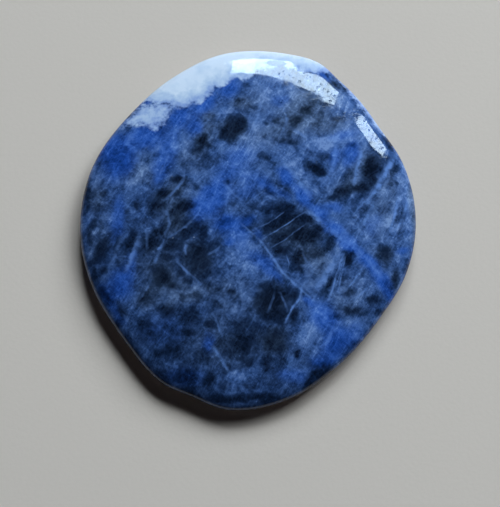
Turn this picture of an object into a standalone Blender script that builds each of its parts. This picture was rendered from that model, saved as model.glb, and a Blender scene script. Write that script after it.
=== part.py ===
"""A polished palm stone of sodalite: one flat, rounded pebble of blue rock with a flat spot to rest on.

The stone is one solid. It starts as an even ball of square faces. Each point of the ball is carried to the
stone's surface by two curves: the outline seen from above, and the rounded profile seen from the side. The
underside is then ground flat where the stone rests. Lengths are in metres, +Z is up, +Y is the longer way
across, and the origin is on the surface below the middle of the stone's box.
"""

import math

import bmesh
import bpy
import numpy as np
from mathutils import Vector

MM = 0.001

# Outline seen from above: turn anticlockwise from +X in degrees, and distance from the middle in millimetres.
OUTLINE = (
    (0, 25.6),  # right side
    (24, 26.0),
    (38, 26.0),  # upper right flank, the straightest
    (50, 27.0),
    (60, 28.1),
    (68, 29.3),  # upper right shoulder
    (78, 29.3),
    (98, 28.9),  # top
    (115, 27.4),
    (135, 26.1),  # upper left flank
    (158, 26.0),
    (180, 25.8),  # left side
    (214, 25.6),  # lower left flank
    (227, 26.2),
    (242, 27.8),  # lower left shoulder
    (252, 28.0),
    (265, 28.9),  # bottom
    (284, 27.6),  # lower right shoulder
    (301, 25.8),
    (323, 24.6),  # lower right flank
    (342, 25.1),
)

# Profile seen from the side, above and below the widest line around the stone.
TOP_HEIGHT = 2.7 * MM
UNDER_DEPTH = 2.6 * MM
TOP_DOME = 0.7 * MM
UNDER_DOME = 0.5 * MM
EDGE_FULLNESS = 9.0
FLAT_GRIND = 0.1 * MM

# Gentle unevenness left by hand polishing: height, and how many waves cross the stone each way.
WAVE_HEIGHT = 0.08 * MM
WAVES_ACROSS = 1.3
WAVES_ALONG = 0.9
WAVE_PHASE = 0.8

BALL_CUTS = 26
PROFILE_SAMPLES = 400

STONE_COLOUR = (0.024, 0.058, 0.19, 1.0)
STONE_ROUGHNESS = 0.12
STONE_IOR = 1.48


def clear_scene():
    """Removes every object, so that only the stone is left at the end."""
    for obj in list(bpy.data.objects):
        bpy.data.objects.remove(obj, do_unlink=True)


def outline_radius(angle):
    """Distance from the middle to the edge at an angle, on a smooth closed curve through the outline's points."""
    turns = [math.radians(degrees) for degrees, _ in OUTLINE]
    count = len(turns)
    first = sum(1 for turn in turns if turn <= angle) - 1
    near = []
    for step in (-1, 0, 1, 2):
        place = first + step
        turn = turns[place % count] + math.tau * (place // count)
        near.append((turn, OUTLINE[place % count][1] * MM))
    before, start, end, after = near
    width = end[0] - start[0]
    share = (angle - start[0]) / width
    start_slope = (end[1] - before[1]) / (end[0] - before[0]) * width
    end_slope = (after[1] - start[1]) / (after[0] - start[0]) * width
    return (
        (2 * share**3 - 3 * share**2 + 1) * start[1]
        + (share**3 - 2 * share**2 + share) * start_slope
        + (3 * share**2 - 2 * share**3) * end[1]
        + (share**3 - share**2) * end_slope
    )


def half_profile(height, dome):
    """Shares of the radius from 0 to 1, and the surface's height at each, for one side of the stone."""
    turn = np.linspace(0, math.pi / 2, PROFILE_SAMPLES)
    from_edge = np.cos(turn) ** 2
    share = 1 - from_edge
    level = (height - dome) * np.sqrt(1 - share**EDGE_FULLNESS) + dome * (1 - share**2)
    return share, level


def whole_profile():
    """The profile from the middle of the top to the middle of the underside: way along it, share, height."""
    top_share, top_level = half_profile(TOP_HEIGHT, TOP_DOME)
    under_share, under_level = half_profile(UNDER_DEPTH, UNDER_DOME)
    share = np.concatenate([top_share, under_share[-2::-1]])
    level = np.concatenate([top_level, -under_level[-2::-1]])
    mean_radius = sum(radius for _, radius in OUTLINE) / len(OUTLINE) * MM
    steps = np.hypot(np.diff(share) * mean_radius, np.diff(level))
    way = np.concatenate([[0], np.cumsum(steps)])
    return way / way[-1], share, level


def ball_of_squares():
    """A ball of radius 1 made from a cube, with faces of nearly even size."""
    ball = bmesh.new()
    bmesh.ops.create_cube(ball, size=2)
    bmesh.ops.subdivide_edges(ball, edges=ball.edges[:], cuts=BALL_CUTS, use_grid_fill=True)
    for vert in ball.verts:
        vert.co = Vector(math.tan(value * math.pi / 4) for value in vert.co).normalized()
    return ball


def unevenness(x, y):
    """How far the surface stands above its true profile at a point of the plan."""
    across = math.cos(x / (25 * MM) * math.pi * WAVES_ACROSS + WAVE_PHASE)
    along = math.sin(y / (28 * MM) * math.pi * WAVES_ALONG)
    return WAVE_HEIGHT * across * along


def shape_stone(ball):
    """Carries each point of the ball to the stone's surface."""
    way, share, level = whole_profile()
    for vert in ball.verts:
        angle = math.atan2(vert.co.y, vert.co.x) % math.tau
        down = math.acos(max(-1.0, min(1.0, vert.co.z))) / math.pi
        radius = float(np.interp(down, way, share)) * outline_radius(angle)
        x = radius * math.cos(angle)
        y = radius * math.sin(angle)
        z = float(np.interp(down, way, level))
        top_share = max(0.0, z / TOP_HEIGHT)
        vert.co = Vector((x, y, z + unevenness(x, y) * top_share))


def grind_flat(stone):
    """Cuts the flat spot under the stone and closes it with one flat face."""
    plane = Vector((0, 0, FLAT_GRIND - UNDER_DEPTH))
    cut = bmesh.ops.bisect_plane(
        stone,
        geom=stone.verts[:] + stone.edges[:] + stone.faces[:],
        plane_co=plane,
        plane_no=(0, 0, -1),
        clear_outer=True,
    )
    rim = [item for item in cut["geom_cut"] if isinstance(item, bmesh.types.BMEdge)]
    bmesh.ops.edgeloop_fill(stone, edges=rim)


def set_on_origin(stone):
    """Moves the stone so that its box is centred over the origin and its flat spot is at height 0."""
    places = np.array([vert.co for vert in stone.verts])
    low = places.min(axis=0)
    high = places.max(axis=0)
    middle = (low + high) / 2
    bmesh.ops.translate(stone, verts=stone.verts[:], vec=Vector((-middle[0], -middle[1], -low[2])))


def stone_material():
    """Polished sodalite, in its average blue."""
    material = bpy.data.materials.new("polished_sodalite")
    material.use_nodes = True
    shader = material.node_tree.nodes["Principled BSDF"]
    shader.inputs["Base Color"].default_value = STONE_COLOUR
    shader.inputs["Roughness"].default_value = STONE_ROUGHNESS
    shader.inputs["Metallic"].default_value = 0.0
    shader.inputs["IOR"].default_value = STONE_IOR
    return material


def build_palm_stone(collection):
    """The whole stone, as one object."""
    stone = ball_of_squares()
    shape_stone(stone)
    grind_flat(stone)
    set_on_origin(stone)
    bmesh.ops.recalc_face_normals(stone, faces=stone.faces[:])
    mesh = bpy.data.meshes.new("palm_stone")
    stone.to_mesh(mesh)
    stone.free()
    mesh.shade_smooth()
    mesh.set_sharp_from_angle(angle=math.radians(40))
    mesh.materials.append(stone_material())
    obj = bpy.data.objects.new("palm_stone", mesh)
    collection.objects.link(obj)
    return obj


def main():
    """Builds the stone in a collection of its own."""
    clear_scene()
    collection = bpy.data.collections.new("sodalite_palm_stone")
    bpy.context.scene.collection.children.link(collection)
    build_palm_stone(collection)


main()
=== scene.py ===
"""A polished sodalite palm stone: a thin flat pebble of blue rock, smoky with navy and rimmed with white.

The stone's fine surface follows the same outline and profile as its solid. Its markings are laid out in
millimetres on one level sheet, run down through the stone, and are broken up by the rock's own grain.
"""

from __future__ import annotations

import logging
import math
from dataclasses import dataclass, field
from enum import Enum
from typing import NamedTuple

import bmesh
import bpy
import numpy as np
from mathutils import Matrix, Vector, noise

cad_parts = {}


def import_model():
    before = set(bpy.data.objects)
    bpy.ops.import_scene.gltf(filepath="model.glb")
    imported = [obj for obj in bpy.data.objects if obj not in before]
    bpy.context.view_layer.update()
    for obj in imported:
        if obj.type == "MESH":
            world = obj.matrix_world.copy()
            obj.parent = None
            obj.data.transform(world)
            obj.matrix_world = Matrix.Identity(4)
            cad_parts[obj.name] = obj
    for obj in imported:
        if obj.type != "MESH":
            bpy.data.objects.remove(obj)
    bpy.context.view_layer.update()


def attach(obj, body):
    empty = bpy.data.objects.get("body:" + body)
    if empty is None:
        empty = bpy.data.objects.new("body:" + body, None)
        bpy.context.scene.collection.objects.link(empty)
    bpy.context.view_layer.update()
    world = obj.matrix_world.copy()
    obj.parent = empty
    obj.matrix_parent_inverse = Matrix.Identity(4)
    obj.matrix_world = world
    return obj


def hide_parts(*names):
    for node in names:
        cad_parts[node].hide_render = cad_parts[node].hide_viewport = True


MM = 0.001
LOG = logging.getLogger("palm_stone")

Stops = tuple[tuple[float, str], ...]
Points = tuple[tuple[float, float], ...]

# The sockets of a Mix node for colours that go by number: its two colours and its result.
MIX_FIRST = 6
MIX_SECOND = 7
MIX_RESULT = 2

# The value that noise swings about.
NOISE_MIDDLE = 0.5


def linear(hex_colour: str, alpha: float = 1.0) -> tuple[float, float, float, float]:
    """Turns an sRGB hex colour into the linear values that shader sockets take.

    Args:
        hex_colour: Six hex digits, with or without a leading hash.
        alpha: The fourth value.

    Returns:
        Linear red, green, blue and alpha.
    """
    digits = hex_colour.lstrip("#")
    values = [int(digits[i : i + 2], 16) / 255 for i in (0, 2, 4)]
    red, green, blue = (v / 12.92 if v <= 0.04045 else ((v + 0.055) / 1.055) ** 2.4 for v in values)
    return red, green, blue, alpha


def add_node(
    tree: bpy.types.NodeTree,
    kind: str,
    settings: dict[str, object] | None = None,
    inputs: dict[int | str, object] | None = None,
    output: int | str = 0,
) -> bpy.types.NodeSocket:
    """Adds one node, sets its properties, and fills or links its input sockets.

    Args:
        tree: The node tree that takes the node.
        kind: Blender's type name for the node.
        settings: Property names and values, such as an operation.
        inputs: Socket names or numbers, each with a plain value or an output socket to link from.
        output: Which of the node's own outputs to hand back.

    Returns:
        That output socket.
    """
    node = tree.nodes.new(kind)
    for name, value in (settings or {}).items():
        setattr(node, name, value)
    for key, value in (inputs or {}).items():
        if isinstance(value, bpy.types.NodeSocket):
            tree.links.new(value, node.inputs[key])
        else:
            node.inputs[key].default_value = value
    return node.outputs[output]


def smooth_step(low: float, high: float, value: np.ndarray) -> np.ndarray:
    """Eases from 0 at low to 1 at high, also where low is the larger of the two.

    Args:
        low: The value that gives 0.
        high: The value that gives 1.
        value: The values to ease.

    Returns:
        A share from 0 to 1 for each value.
    """
    share = np.clip((value - low) / (high - low), 0.0, 1.0)
    return share * share * (3 - 2 * share)


@dataclass
class PalmForm:
    """The stone's form in millimetres: an outline from above, and a rounded profile from the side."""

    outline: Points = (
        (0, 25.6),
        (24, 26.0),
        (38, 26.0),
        (50, 27.0),
        (60, 28.1),
        (68, 29.3),
        (78, 29.3),
        (98, 28.9),
        (115, 27.4),
        (135, 26.1),
        (158, 26.0),
        (180, 25.8),
        (214, 25.6),
        (227, 26.2),
        (242, 27.8),
        (252, 28.0),
        (265, 28.9),
        (284, 27.6),
        (301, 25.8),
        (323, 24.6),
        (342, 25.1),
    )
    top_height: float = 2.7
    under_depth: float = 2.6
    top_dome: float = 0.7
    under_dome: float = 0.5
    edge_fullness: float = 9.0
    flat_grind: float = 0.1
    wave_height: float = 0.08
    waves_across: float = 1.3
    waves_along: float = 0.9
    wave_phase: float = 0.8
    reach_across: float = 25.0
    reach_along: float = 28.0
    profile_samples: int = 1200

    def edge_distance(self, angle: np.ndarray) -> np.ndarray:
        """Distance from the middle to the edge of the outline.

        Args:
            angle: Directions in radians, from 0 to a full turn.

        Returns:
            Distances in millimetres.
        """
        turns = np.radians([turn for turn, _ in self.outline])
        radii = np.array([radius for _, radius in self.outline])
        count = len(turns)
        first = np.searchsorted(turns, angle, side="right") - 1

        def near(step: int) -> tuple[np.ndarray, np.ndarray]:
            """Finds the outline's point that many steps from the nearest one below each direction.

            Args:
                step: How many points further on.

            Returns:
                Its turn and its radius.
            """
            place = first + step
            return turns[place % count] + math.tau * (place // count), radii[place % count]

        before, start, end, after = (near(step) for step in (-1, 0, 1, 2))
        width = end[0] - start[0]
        share = (angle - start[0]) / width
        start_slope = (end[1] - before[1]) / (end[0] - before[0]) * width
        end_slope = (after[1] - start[1]) / (after[0] - start[0]) * width
        return (
            (2 * share**3 - 3 * share**2 + 1) * start[1]
            + (share**3 - 2 * share**2 + share) * start_slope
            + (3 * share**2 - 2 * share**3) * end[1]
            + (share**3 - share**2) * end_slope
        )

    def profile(self) -> tuple[np.ndarray, np.ndarray, np.ndarray]:
        """The line from the middle of the top to the middle of the underside.

        Returns:
            The way along the line from 0 to 1, the share of the edge distance, and the height.
        """
        turn = np.linspace(0, math.pi / 2, self.profile_samples)
        share = 1 - np.cos(turn) ** 2
        bend = np.sqrt(1 - share**self.edge_fullness)
        top = (self.top_height - self.top_dome) * bend + self.top_dome * (1 - share**2)
        under = (self.under_depth - self.under_dome) * bend + self.under_dome * (1 - share**2)
        shares = np.concatenate([share, share[-2::-1]])
        levels = np.concatenate([top, -under[-2::-1]])
        mean_radius = sum(radius for _, radius in self.outline) / len(self.outline)
        way = np.concatenate([[0], np.cumsum(np.hypot(np.diff(shares) * mean_radius, np.diff(levels)))])
        return way / way[-1], shares, levels

    def place(self, ball: np.ndarray) -> np.ndarray:
        """Carries points of a ball of radius 1 to the stone's surface.

        Args:
            ball: Points on the ball, one row each.

        Returns:
            Points on the stone in millimetres, before it is set on its foot.
        """
        way, shares, levels = self.profile()
        angle = np.arctan2(ball[:, 1], ball[:, 0]) % math.tau
        down = np.arccos(np.clip(ball[:, 2], -1, 1)) / math.pi
        radius = np.interp(down, way, shares) * self.edge_distance(angle)
        x, y, z = radius * np.cos(angle), radius * np.sin(angle), np.interp(down, way, levels)
        across = np.cos(x / self.reach_across * math.pi * self.waves_across + self.wave_phase)
        along = np.sin(y / self.reach_along * math.pi * self.waves_along)
        z = z + self.wave_height * across * along * np.maximum(0, z / self.top_height)
        z = np.maximum(z, self.flat_grind - self.under_depth)
        return np.stack([x, y, z], axis=1)


class Cloud(NamedTuple):
    """A soft-edged patch of one tone: its middle, length, width, turn in degrees and strength."""

    x: float
    y: float
    long: float
    short: float
    turn: float
    strength: float


class Seam(NamedTuple):
    """A thin pale seam: the points that it passes through, its width in millimetres and its strength."""

    route: Points
    width: float
    strength: float


class Tone(Enum):
    """The tones that patches of the stone take. The value names the mesh attribute that holds each."""

    NAVY = "navy_smoke_painted_shade_and_dark_reflection"
    ROYAL = "royal_blue"
    PALE = "pale_cloud_and_painted_reflection"
    GREY = "grey_veil_and_painted_reflection"


CLOUDS: dict[Tone, tuple[tuple[float, ...], ...]] = {
    # Dark cells, almost black where thickest. A few are painted shade at the left rim and painted dark
    # reflection at the upper right rim.
    Tone.NAVY: (
        # Upper left.
        (-2.3, 13.8, 4.9, 3.4, 10, 1.0), (-3.3, 12.6, 2.6, 1.8, 0, 0.9), (-0.9, 14.6, 2.2, 2.0, 60, 0.9),
        (-2.5, 15.4, 1.8, 1.2, 0, 0.6), (-6.9, 11.7, 3.2, 1.4, 72, 0.9), (-6.0, 11.0, 1.3, 1.0, 0, 0.7),
        (-1.5, 18.2, 1.9, 1.3, 0, 0.5), (-6.1, 15.8, 1.9, 1.3, 20, 0.4), (-10.4, 5.8, 2.7, 1.5, -5, 0.95),
        (-12.2, 3.2, 3.8, 2.0, 10, 0.85), (-10.5, 3.3, 1.5, 1.4, 60, 0.7), (-13.8, 1.2, 2.6, 1.7, 0, 0.8),
        (-16.5, 1.1, 1.7, 1.3, 90, 0.7), (-21.7, 3.5, 1.9, 1.5, 90, 0.6), (-22.2, 1.2, 1.8, 1.4, 90, 0.6),
        (-9.2, 1.3, 3.0, 2.4, 20, 0.95), (-2.7, 5.0, 2.1, 1.4, 80, 0.6), (-2.5, 1.7, 1.3, 0.9, 0, 0.5),
        (0.7, 1.0, 1.6, 1.3, 0, 0.45), (0.4, -2.4, 1.6, 1.2, -40, 0.4), (-6.3, 8.7, 3.6, 2.8, 70, 0.45),
        # The first cloud on the next line is painted shade: it darkens the left rim, which turns away from
        # the window.
        (-24.2, 2.5, 6.0, 1.5, 90, 0.8), (-8.0, 9.8, 1.6, 1.2, 60, 0.4), (-3.9, 9.2, 1.2, 1.0, 0, 0.35),
        (-1.9, 4.0, 1.2, 0.9, 0, 0.3),
        # Upper right.
        (8.8, 16.7, 3.0, 1.3, 15, 0.7), (7.2, 15.0, 3.2, 1.5, 0, 0.75), (4.3, 15.0, 1.3, 1.1, 0, 0.6),
        (2.9, 14.5, 1.0, 0.9, 0, 0.45), (13.3, 15.2, 1.8, 1.5, 60, 0.6), (10.9, 12.7, 1.8, 1.3, 20, 0.55),
        (6.5, 12.6, 1.5, 1.0, 60, 0.55), (2.5, 12.3, 1.6, 0.9, 20, 0.5), (4.7, 13.3, 1.3, 0.9, 0, 0.4),
        (7.0, 11.3, 3.4, 1.2, -10, 0.6), (2.5, 9.2, 2.1, 1.4, -20, 0.7), (4.0, 8.1, 1.2, 0.9, 0, 0.65),
        (10.0, 7.2, 3.8, 2.2, -20, 0.95), (10.6, 6.5, 1.8, 1.2, 0, 0.8), (10.4, 9.2, 4.2, 1.7, -10, 0.55),
        (12.0, 8.8, 1.8, 1.2, 70, 0.5), (18.4, 7.5, 5.0, 2.6, 66, 0.9), (18.6, 5.4, 2.4, 2.1, 60, 0.95),
        (16.7, 4.2, 2.4, 1.7, 25, 1.0), (14.0, 3.4, 3.4, 2.1, 30, 0.95), (13.1, 2.3, 2.2, 1.5, 0, 0.8),
        (15.2, 6.0, 2.6, 1.3, 60, 0.55), (21.2, 5.1, 1.4, 0.9, 10, 0.65), (22.5, 5.0, 0.9, 0.7, 0, 0.65),
        (21.8, 7.0, 2.4, 1.5, 45, 0.65), (20.6, 8.3, 2.8, 1.6, 60, 0.55),
        # Both clouds on the next line are painted dark reflection, in the strips at the upper right rim
        # between the window's mirror image and the edge.
        (21.5, 10.8, 3.6, 1.0, -62, 0.6), (12.6, 22.2, 1.8, 0.7, -46, 0.75),
        (3.2, 3.6, 1.8, 1.0, -30, 0.6), (5.2, 3.3, 1.4, 1.0, -40, 0.5), (3.5, 1.1, 6.6, 2.2, 0, 0.55),
        (5.6, 0.9, 3.4, 1.7, 0, 0.8), (11.5, 2.2, 2.2, 1.1, 0, 0.5), (15.5, 0.4, 3.4, 1.4, 60, 0.5),
        (17.2, 0.8, 3.2, 1.2, 62, 0.6), (10.3, 14.4, 2.0, 1.2, 40, 0.4), (15.7, 10.9, 1.7, 1.2, 0, 0.6),
        (5.5, 11.9, 2.0, 1.0, 60, 0.4), (12.0, 17.7, 2.2, 1.2, -30, 0.5),
        # Lower right.
        (5.7, -0.6, 5.0, 2.8, 5, 1.0), (10.2, -2.9, 4.4, 2.7, 20, 1.0), (5.0, -5.6, 2.8, 2.2, 0, 0.95),
        (7.5, -6.8, 3.2, 2.3, 0, 0.9), (7.4, -3.2, 5.0, 2.6, 10, 0.95), (3.0, -1.9, 2.8, 2.4, 60, 0.8),
        (12.5, -4.6, 2.8, 1.9, 80, 0.9), (10.0, -5.8, 3.6, 2.2, 0, 0.6), (7.2, -8.6, 2.6, 1.4, -20, 0.8),
        (4.6, -3.8, 3.6, 1.6, 20, 0.85), (9.0, -1.1, 2.6, 1.8, 0, 0.85), (15.1, -7.1, 4.0, 1.6, 76, 0.95),
        (14.0, -10.6, 1.9, 1.1, 62, 0.65), (11.9, -10.7, 3.0, 1.0, 66, 0.85),
        (11.3, -12.4, 1.3, 1.1, 0, 0.6), (20.3, -6.2, 3.8, 2.4, -62, 0.95),
        (21.7, -10.0, 4.2, 1.4, 68, 0.85), (18.5, -13.5, 2.4, 1.9, 10, 0.9),
        (19.2, -15.2, 2.4, 1.4, 35, 0.85), (16.9, -9.8, 1.6, 1.0, 60, 0.65),
        (15.1, -12.5, 2.5, 1.7, 20, 0.6), (15.3, -15.2, 4.2, 1.9, -5, 0.85),
        (12.9, -16.0, 1.5, 1.0, 0, 0.75), (3.9, -13.2, 5.6, 4.8, -20, 0.95),
        (2.4, -13.4, 3.6, 2.8, 80, 1.0), (6.5, -12.7, 2.3, 2.0, 80, 0.9), (4.0, -15.8, 3.6, 2.2, 0, 0.85),
        (6.7, -15.9, 2.2, 1.3, 60, 0.85), (4.0, -19.3, 4.6, 3.9, 80, 1.0),
        (-1.0, -19.8, 4.6, 3.2, 10, 1.0), (1.3, -18.2, 2.6, 2.6, 0, 0.7),
        (-0.5, -22.5, 2.5, 2.0, 0, 0.85), (7.2, -21.2, 1.1, 1.0, 0, 0.85),
        (10.7, -24.0, 3.6, 2.4, 30, 0.9), (2.7, -22.9, 2.6, 1.6, 70, 0.7),
        (5.1, -22.6, 1.8, 1.6, 0, 0.65), (2.0, -28.2, 10.0, 1.6, 2, 0.85),
        (-3.5, -28.1, 6.0, 1.4, -8, 0.85), (8.6, -25.8, 3.4, 1.6, 25, 0.85),
        (2.4, -10.9, 3.0, 1.2, 15, 0.6), (13.1, -7.6, 1.2, 0.8, 60, 0.35),
        (-0.8, -17.0, 2.4, 1.8, 30, 0.6), (23.4, -8.3, 2.6, 0.9, 70, 0.5),
        (22.6, -1.8, 3.6, 0.9, 70, 0.5), (21.0, -2.3, 1.6, 0.7, 65, 0.4),
        # Lower left.
        (-21.5, -5.6, 4.6, 1.9, 73, 1.0), (-21.9, -7.2, 2.0, 1.6, 0, 0.85),
        (-17.3, -3.8, 3.2, 1.3, 85, 0.8), (-14.3, -4.8, 2.5, 1.9, 20, 0.9),
        (-13.0, -2.6, 2.2, 1.8, 0, 0.75), (-10.6, -4.8, 2.8, 2.2, 0, 0.9),
        (-9.1, -3.0, 3.6, 2.6, 30, 0.9), (-6.4, -2.9, 3.0, 2.2, 40, 0.95),
        (-7.8, -1.8, 2.8, 1.8, 20, 0.8), (-7.1, -5.8, 3.6, 2.6, 80, 0.95), (-7.1, -7.6, 4.0, 3.6, 0, 1.0),
        (-5.2, -5.0, 3.2, 2.2, 20, 0.75), (-12.8, -10.0, 3.4, 2.3, -48, 1.0),
        (-11.4, -11.2, 2.0, 1.4, 0, 0.85), (-15.3, -12.9, 2.6, 1.3, 55, 0.85),
        (-21.2, -8.9, 1.5, 1.1, 60, 0.75), (-22.9, -8.4, 4.6, 1.3, -66, 0.6),
        (-23.2, -3.4, 3.4, 1.4, 88, 0.65), (-22.7, -1.5, 2.8, 1.3, 60, 0.75),
        (-20.8, -12.6, 3.4, 1.4, -62, 0.75), (-11.5, -15.0, 2.8, 1.9, 10, 0.85),
        (-8.2, -15.6, 3.0, 2.4, 0, 0.75), (-5.6, -17.1, 1.6, 1.3, 0, 0.75),
        (-8.4, -18.0, 2.0, 1.3, 0, 0.75), (-12.8, -21.1, 3.0, 1.5, 10, 0.85),
        (-15.2, -18.8, 4.0, 3.0, -50, 0.5), (-5.6, -25.2, 2.8, 1.8, 82, 0.85),
        (-9.3, -24.8, 3.8, 2.7, 0, 0.9), (-11.5, -18.5, 8.0, 6.0, -40, 0.4),
        (-14.8, -16.6, 4.0, 1.6, -30, 0.5), (-18.2, -14.9, 2.2, 1.2, -30, 0.65),
        (-9.6, -8.9, 1.6, 1.3, 50, 0.55), (-9.2, -10.3, 1.3, 1.0, 0, 0.5),
        (-9.9, -12.9, 1.2, 0.9, 0, 0.5), (-4.4, -14.0, 2.2, 0.8, -38, 0.55),
        (-2.6, -12.1, 1.8, 0.7, -20, 0.45), (-18.4, 0.4, 1.3, 1.2, 0, 0.45),
        (-14.3, -0.2, 1.2, 1.0, 0, 0.5), (-4.0, -19.6, 1.8, 1.4, 60, 0.6),
        (-6.9, -21.5, 5.0, 2.0, 60, 0.35), (-13.0, -24.5, 5.0, 3.0, -30, 0.4),
        (-17.0, -20.0, 6.0, 1.6, -52, 0.5), (-11.9, -7.4, 2.2, 1.6, 60, 0.5),
        (-3.3, -26.3, 2.4, 1.6, 60, 0.5), (0.6, -26.6, 2.6, 1.0, 0, 0.5),
        # Broad thin smoke around the cells, small touches between them, and a wide darkening of the lower
        # left half.
        (-13.5, -7.5, 10.0, 7.0, -40, 0.35), (-18.5, -1.5, 4.0, 3.6, 90, 0.45),
        (-11.0, -1.0, 5.0, 4.0, 60, 0.3), (-19.5, -6.5, 4.2, 4.0, 0, 0.35),
        (-14.0, -11.5, 6.0, 4.0, -30, 0.35), (-9.0, -12.0, 6.0, 3.0, 20, 0.3),
        (-5.0, -6.8, 4.2, 3.0, 70, 0.4), (-9.0, -8.0, 6.0, 4.0, 30, 0.35),
        (-15.5, -14.2, 4.0, 2.6, 0, 0.35), (-4.5, -18.5, 7.0, 5.0, 70, 0.4),
        (-10.5, -22.5, 8.0, 4.0, 0, 0.4), (-2.5, -22.0, 6.0, 5.0, 0, 0.3), (1.2, -20.8, 3.6, 3.5, 0, 0.5),
        (3.8, -22.0, 4.0, 3.5, 0, 0.3), (1.0, -16.3, 5.0, 3.2, 0, 0.4), (6.0, -18.0, 6.0, 2.5, 90, 0.3),
        (5.0, -2.0, 8.0, 4.0, 30, 0.35), (3.0, 3.0, 5.0, 3.0, 0, 0.25), (16.5, 2.8, 5.0, 3.2, 30, 0.4),
        (-19.0, 8.7, 6.0, 5.0, 70, 0.5), (-3.0, 11.6, 3.2, 2.2, 0, 0.35),
        (21.0, -7.7, 3.6, 2.6, -62, 0.35), (-10.8, 4.4, 3.2, 2.6, 0, 0.3),
        (-21.0, -10.0, 5.0, 3.0, 90, 0.25), (-3.5, -1.2, 3.6, 2.2, 0, 0.3),
        (7.5, -8.0, 4.0, 3.0, 60, 0.25), (-17.0, -4.0, 6.0, 4.0, 80, 0.25),
        (-6.0, -26.0, 8.0, 3.0, 0, 0.25), (-7.5, -16.5, 6.0, 4.0, 20, 0.25),
        # The second cloud on the next line darkens the whole lower left half of the stone a little.
        (9.5, -24.0, 4.0, 3.0, 0, 0.2), (-11.0, -12.0, 44.0, 26.0, -35, 0.25),
        (14.9, 7.5, 2.6, 1.6, 60, 0.4), (17.3, 3.6, 3.0, 2.4, 60, 0.35), (7.5, -4.9, 6.0, 1.6, 10, 0.4),
        (-11.0, -1.5, 3.6, 3.0, 0, 0.3), (-0.8, -26.6, 2.6, 1.8, 0, 0.4), (1.8, -24.0, 1.8, 1.4, 0, 0.4),
        (9.6, -22.9, 1.8, 1.2, 0, 0.5), (-2.6, 11.2, 2.0, 1.6, 0, 0.4), (-10.4, 4.6, 3.2, 1.4, -10, 0.35),
        (1.8, 3.0, 2.6, 1.8, 0, 0.35), (-4.6, -7.0, 2.2, 2.2, 0, 0.4), (0.3, -7.0, 2.8, 1.8, 0, 0.3),
        (5.0, -7.6, 2.0, 2.0, 0, 0.4), (-8.2, -12.2, 2.2, 1.4, 30, 0.35), (20.4, -8.5, 3.0, 1.6, 0, 0.35),
        (21.5, -1.0, 2.4, 1.4, 60, 0.4), (15.8, -0.6, 2.0, 1.6, 60, 0.35),
        # The first cloud on the next line is painted dark reflection at the upper right rim.
        (21.4, 11.4, 2.4, 1.0, -60, 0.5), (7.9, 5.8, 1.4, 1.6, 0, 0.35), (7.8, -24.6, 2.0, 1.2, 20, 0.4),
        (-21.6, 7.2, 3.2, 2.4, 60, 0.4), (-8.0, -20.2, 1.6, 2.2, 0, 0.3),
        (-1.6, -23.6, 1.6, 1.4, 0, 0.35), (14.5, 1.6, 3.6, 1.6, 20, 0.4), (-3.5, -0.8, 2.4, 2.0, 0, 0.35),
        (0.8, -7.3, 2.0, 1.6, 0, 0.3), (4.8, -2.0, 2.6, 1.6, 20, 0.3), (16.2, -10.4, 2.0, 1.0, 66, 0.35),
        (13.2, -13.8, 1.4, 1.4, 0, 0.35), (-20.4, -4.2, 2.4, 1.8, 70, 0.3),
        (14.8, 11.2, 1.8, 1.4, 0, 0.35),
    ),
    # Pure bright blue, where the sodalite is cleanest.
    Tone.ROYAL: (
        (-15.5, 12.4, 7.0, 4.2, 15, 0.95), (-19.2, 8.6, 7.0, 5.2, 70, 1.0),
        (-20.4, 10.8, 5.0, 3.0, 60, 0.95), (-12.3, 9.8, 7.5, 3.4, 70, 0.8),
        (-10.3, 15.4, 5.5, 3.4, 60, 1.0), (-6.6, 17.6, 5.5, 2.6, 55, 1.0),
        (-2.8, 20.4, 4.6, 3.2, 45, 0.9), (-8.2, 13.6, 3.4, 2.6, 60, 0.85),
        (-13.2, 6.2, 4.4, 2.2, 70, 0.6), (-3.0, 7.2, 5.5, 4.2, 60, 0.65), (-5.0, 3.0, 6.0, 4.4, 70, 1.0),
        (-6.6, 1.0, 5.0, 4.0, 60, 0.95), (-0.8, 9.6, 4.4, 3.8, 0, 0.65), (0.5, 5.8, 5.5, 3.4, -30, 0.55),
        (-0.5, 3.4, 4.4, 3.2, 0, 0.5), (-19.4, 1.2, 5.0, 2.2, 82, 0.6), (-19.3, -2.4, 5.0, 2.2, 80, 0.65),
        (4.8, 18.4, 3.2, 2.4, 0, 0.55), (11.4, 22.5, 4.0, 1.5, -28, 0.8), (5.6, 5.6, 4.0, 2.2, -48, 1.0),
        (8.3, 2.8, 4.2, 2.3, -48, 1.0), (10.8, 0.1, 3.8, 2.2, -48, 0.95),
        (13.0, -2.5, 3.8, 2.4, -42, 1.0), (15.3, -4.8, 3.8, 2.3, -46, 1.0),
        (17.7, -7.4, 4.2, 2.4, -50, 1.0), (19.7, -10.3, 4.2, 2.4, -56, 1.0),
        (20.8, -12.6, 2.8, 2.0, -62, 0.85), (15.4, 9.6, 4.6, 3.2, 70, 0.85),
        (12.9, 9.0, 4.6, 1.6, 80, 0.7), (14.3, 12.6, 5.2, 1.8, 15, 0.7), (12.5, 0.9, 3.2, 1.6, -20, 0.7),
        (18.7, -1.5, 4.2, 3.0, 60, 0.45), (-2.8, -1.6, 4.6, 3.8, 0, 1.0), (-2.6, -4.4, 2.2, 1.6, 30, 0.8),
        (-0.9, -3.4, 5.0, 2.6, 80, 0.6), (0.2, -0.9, 2.4, 1.8, 0, 0.8), (1.4, -3.2, 2.4, 1.4, 60, 0.6),
        (2.5, -7.8, 4.4, 2.8, -52, 0.75), (0.5, -6.6, 3.4, 3.0, 0, 0.45), (4.4, -9.6, 3.2, 1.6, -52, 0.6),
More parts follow.
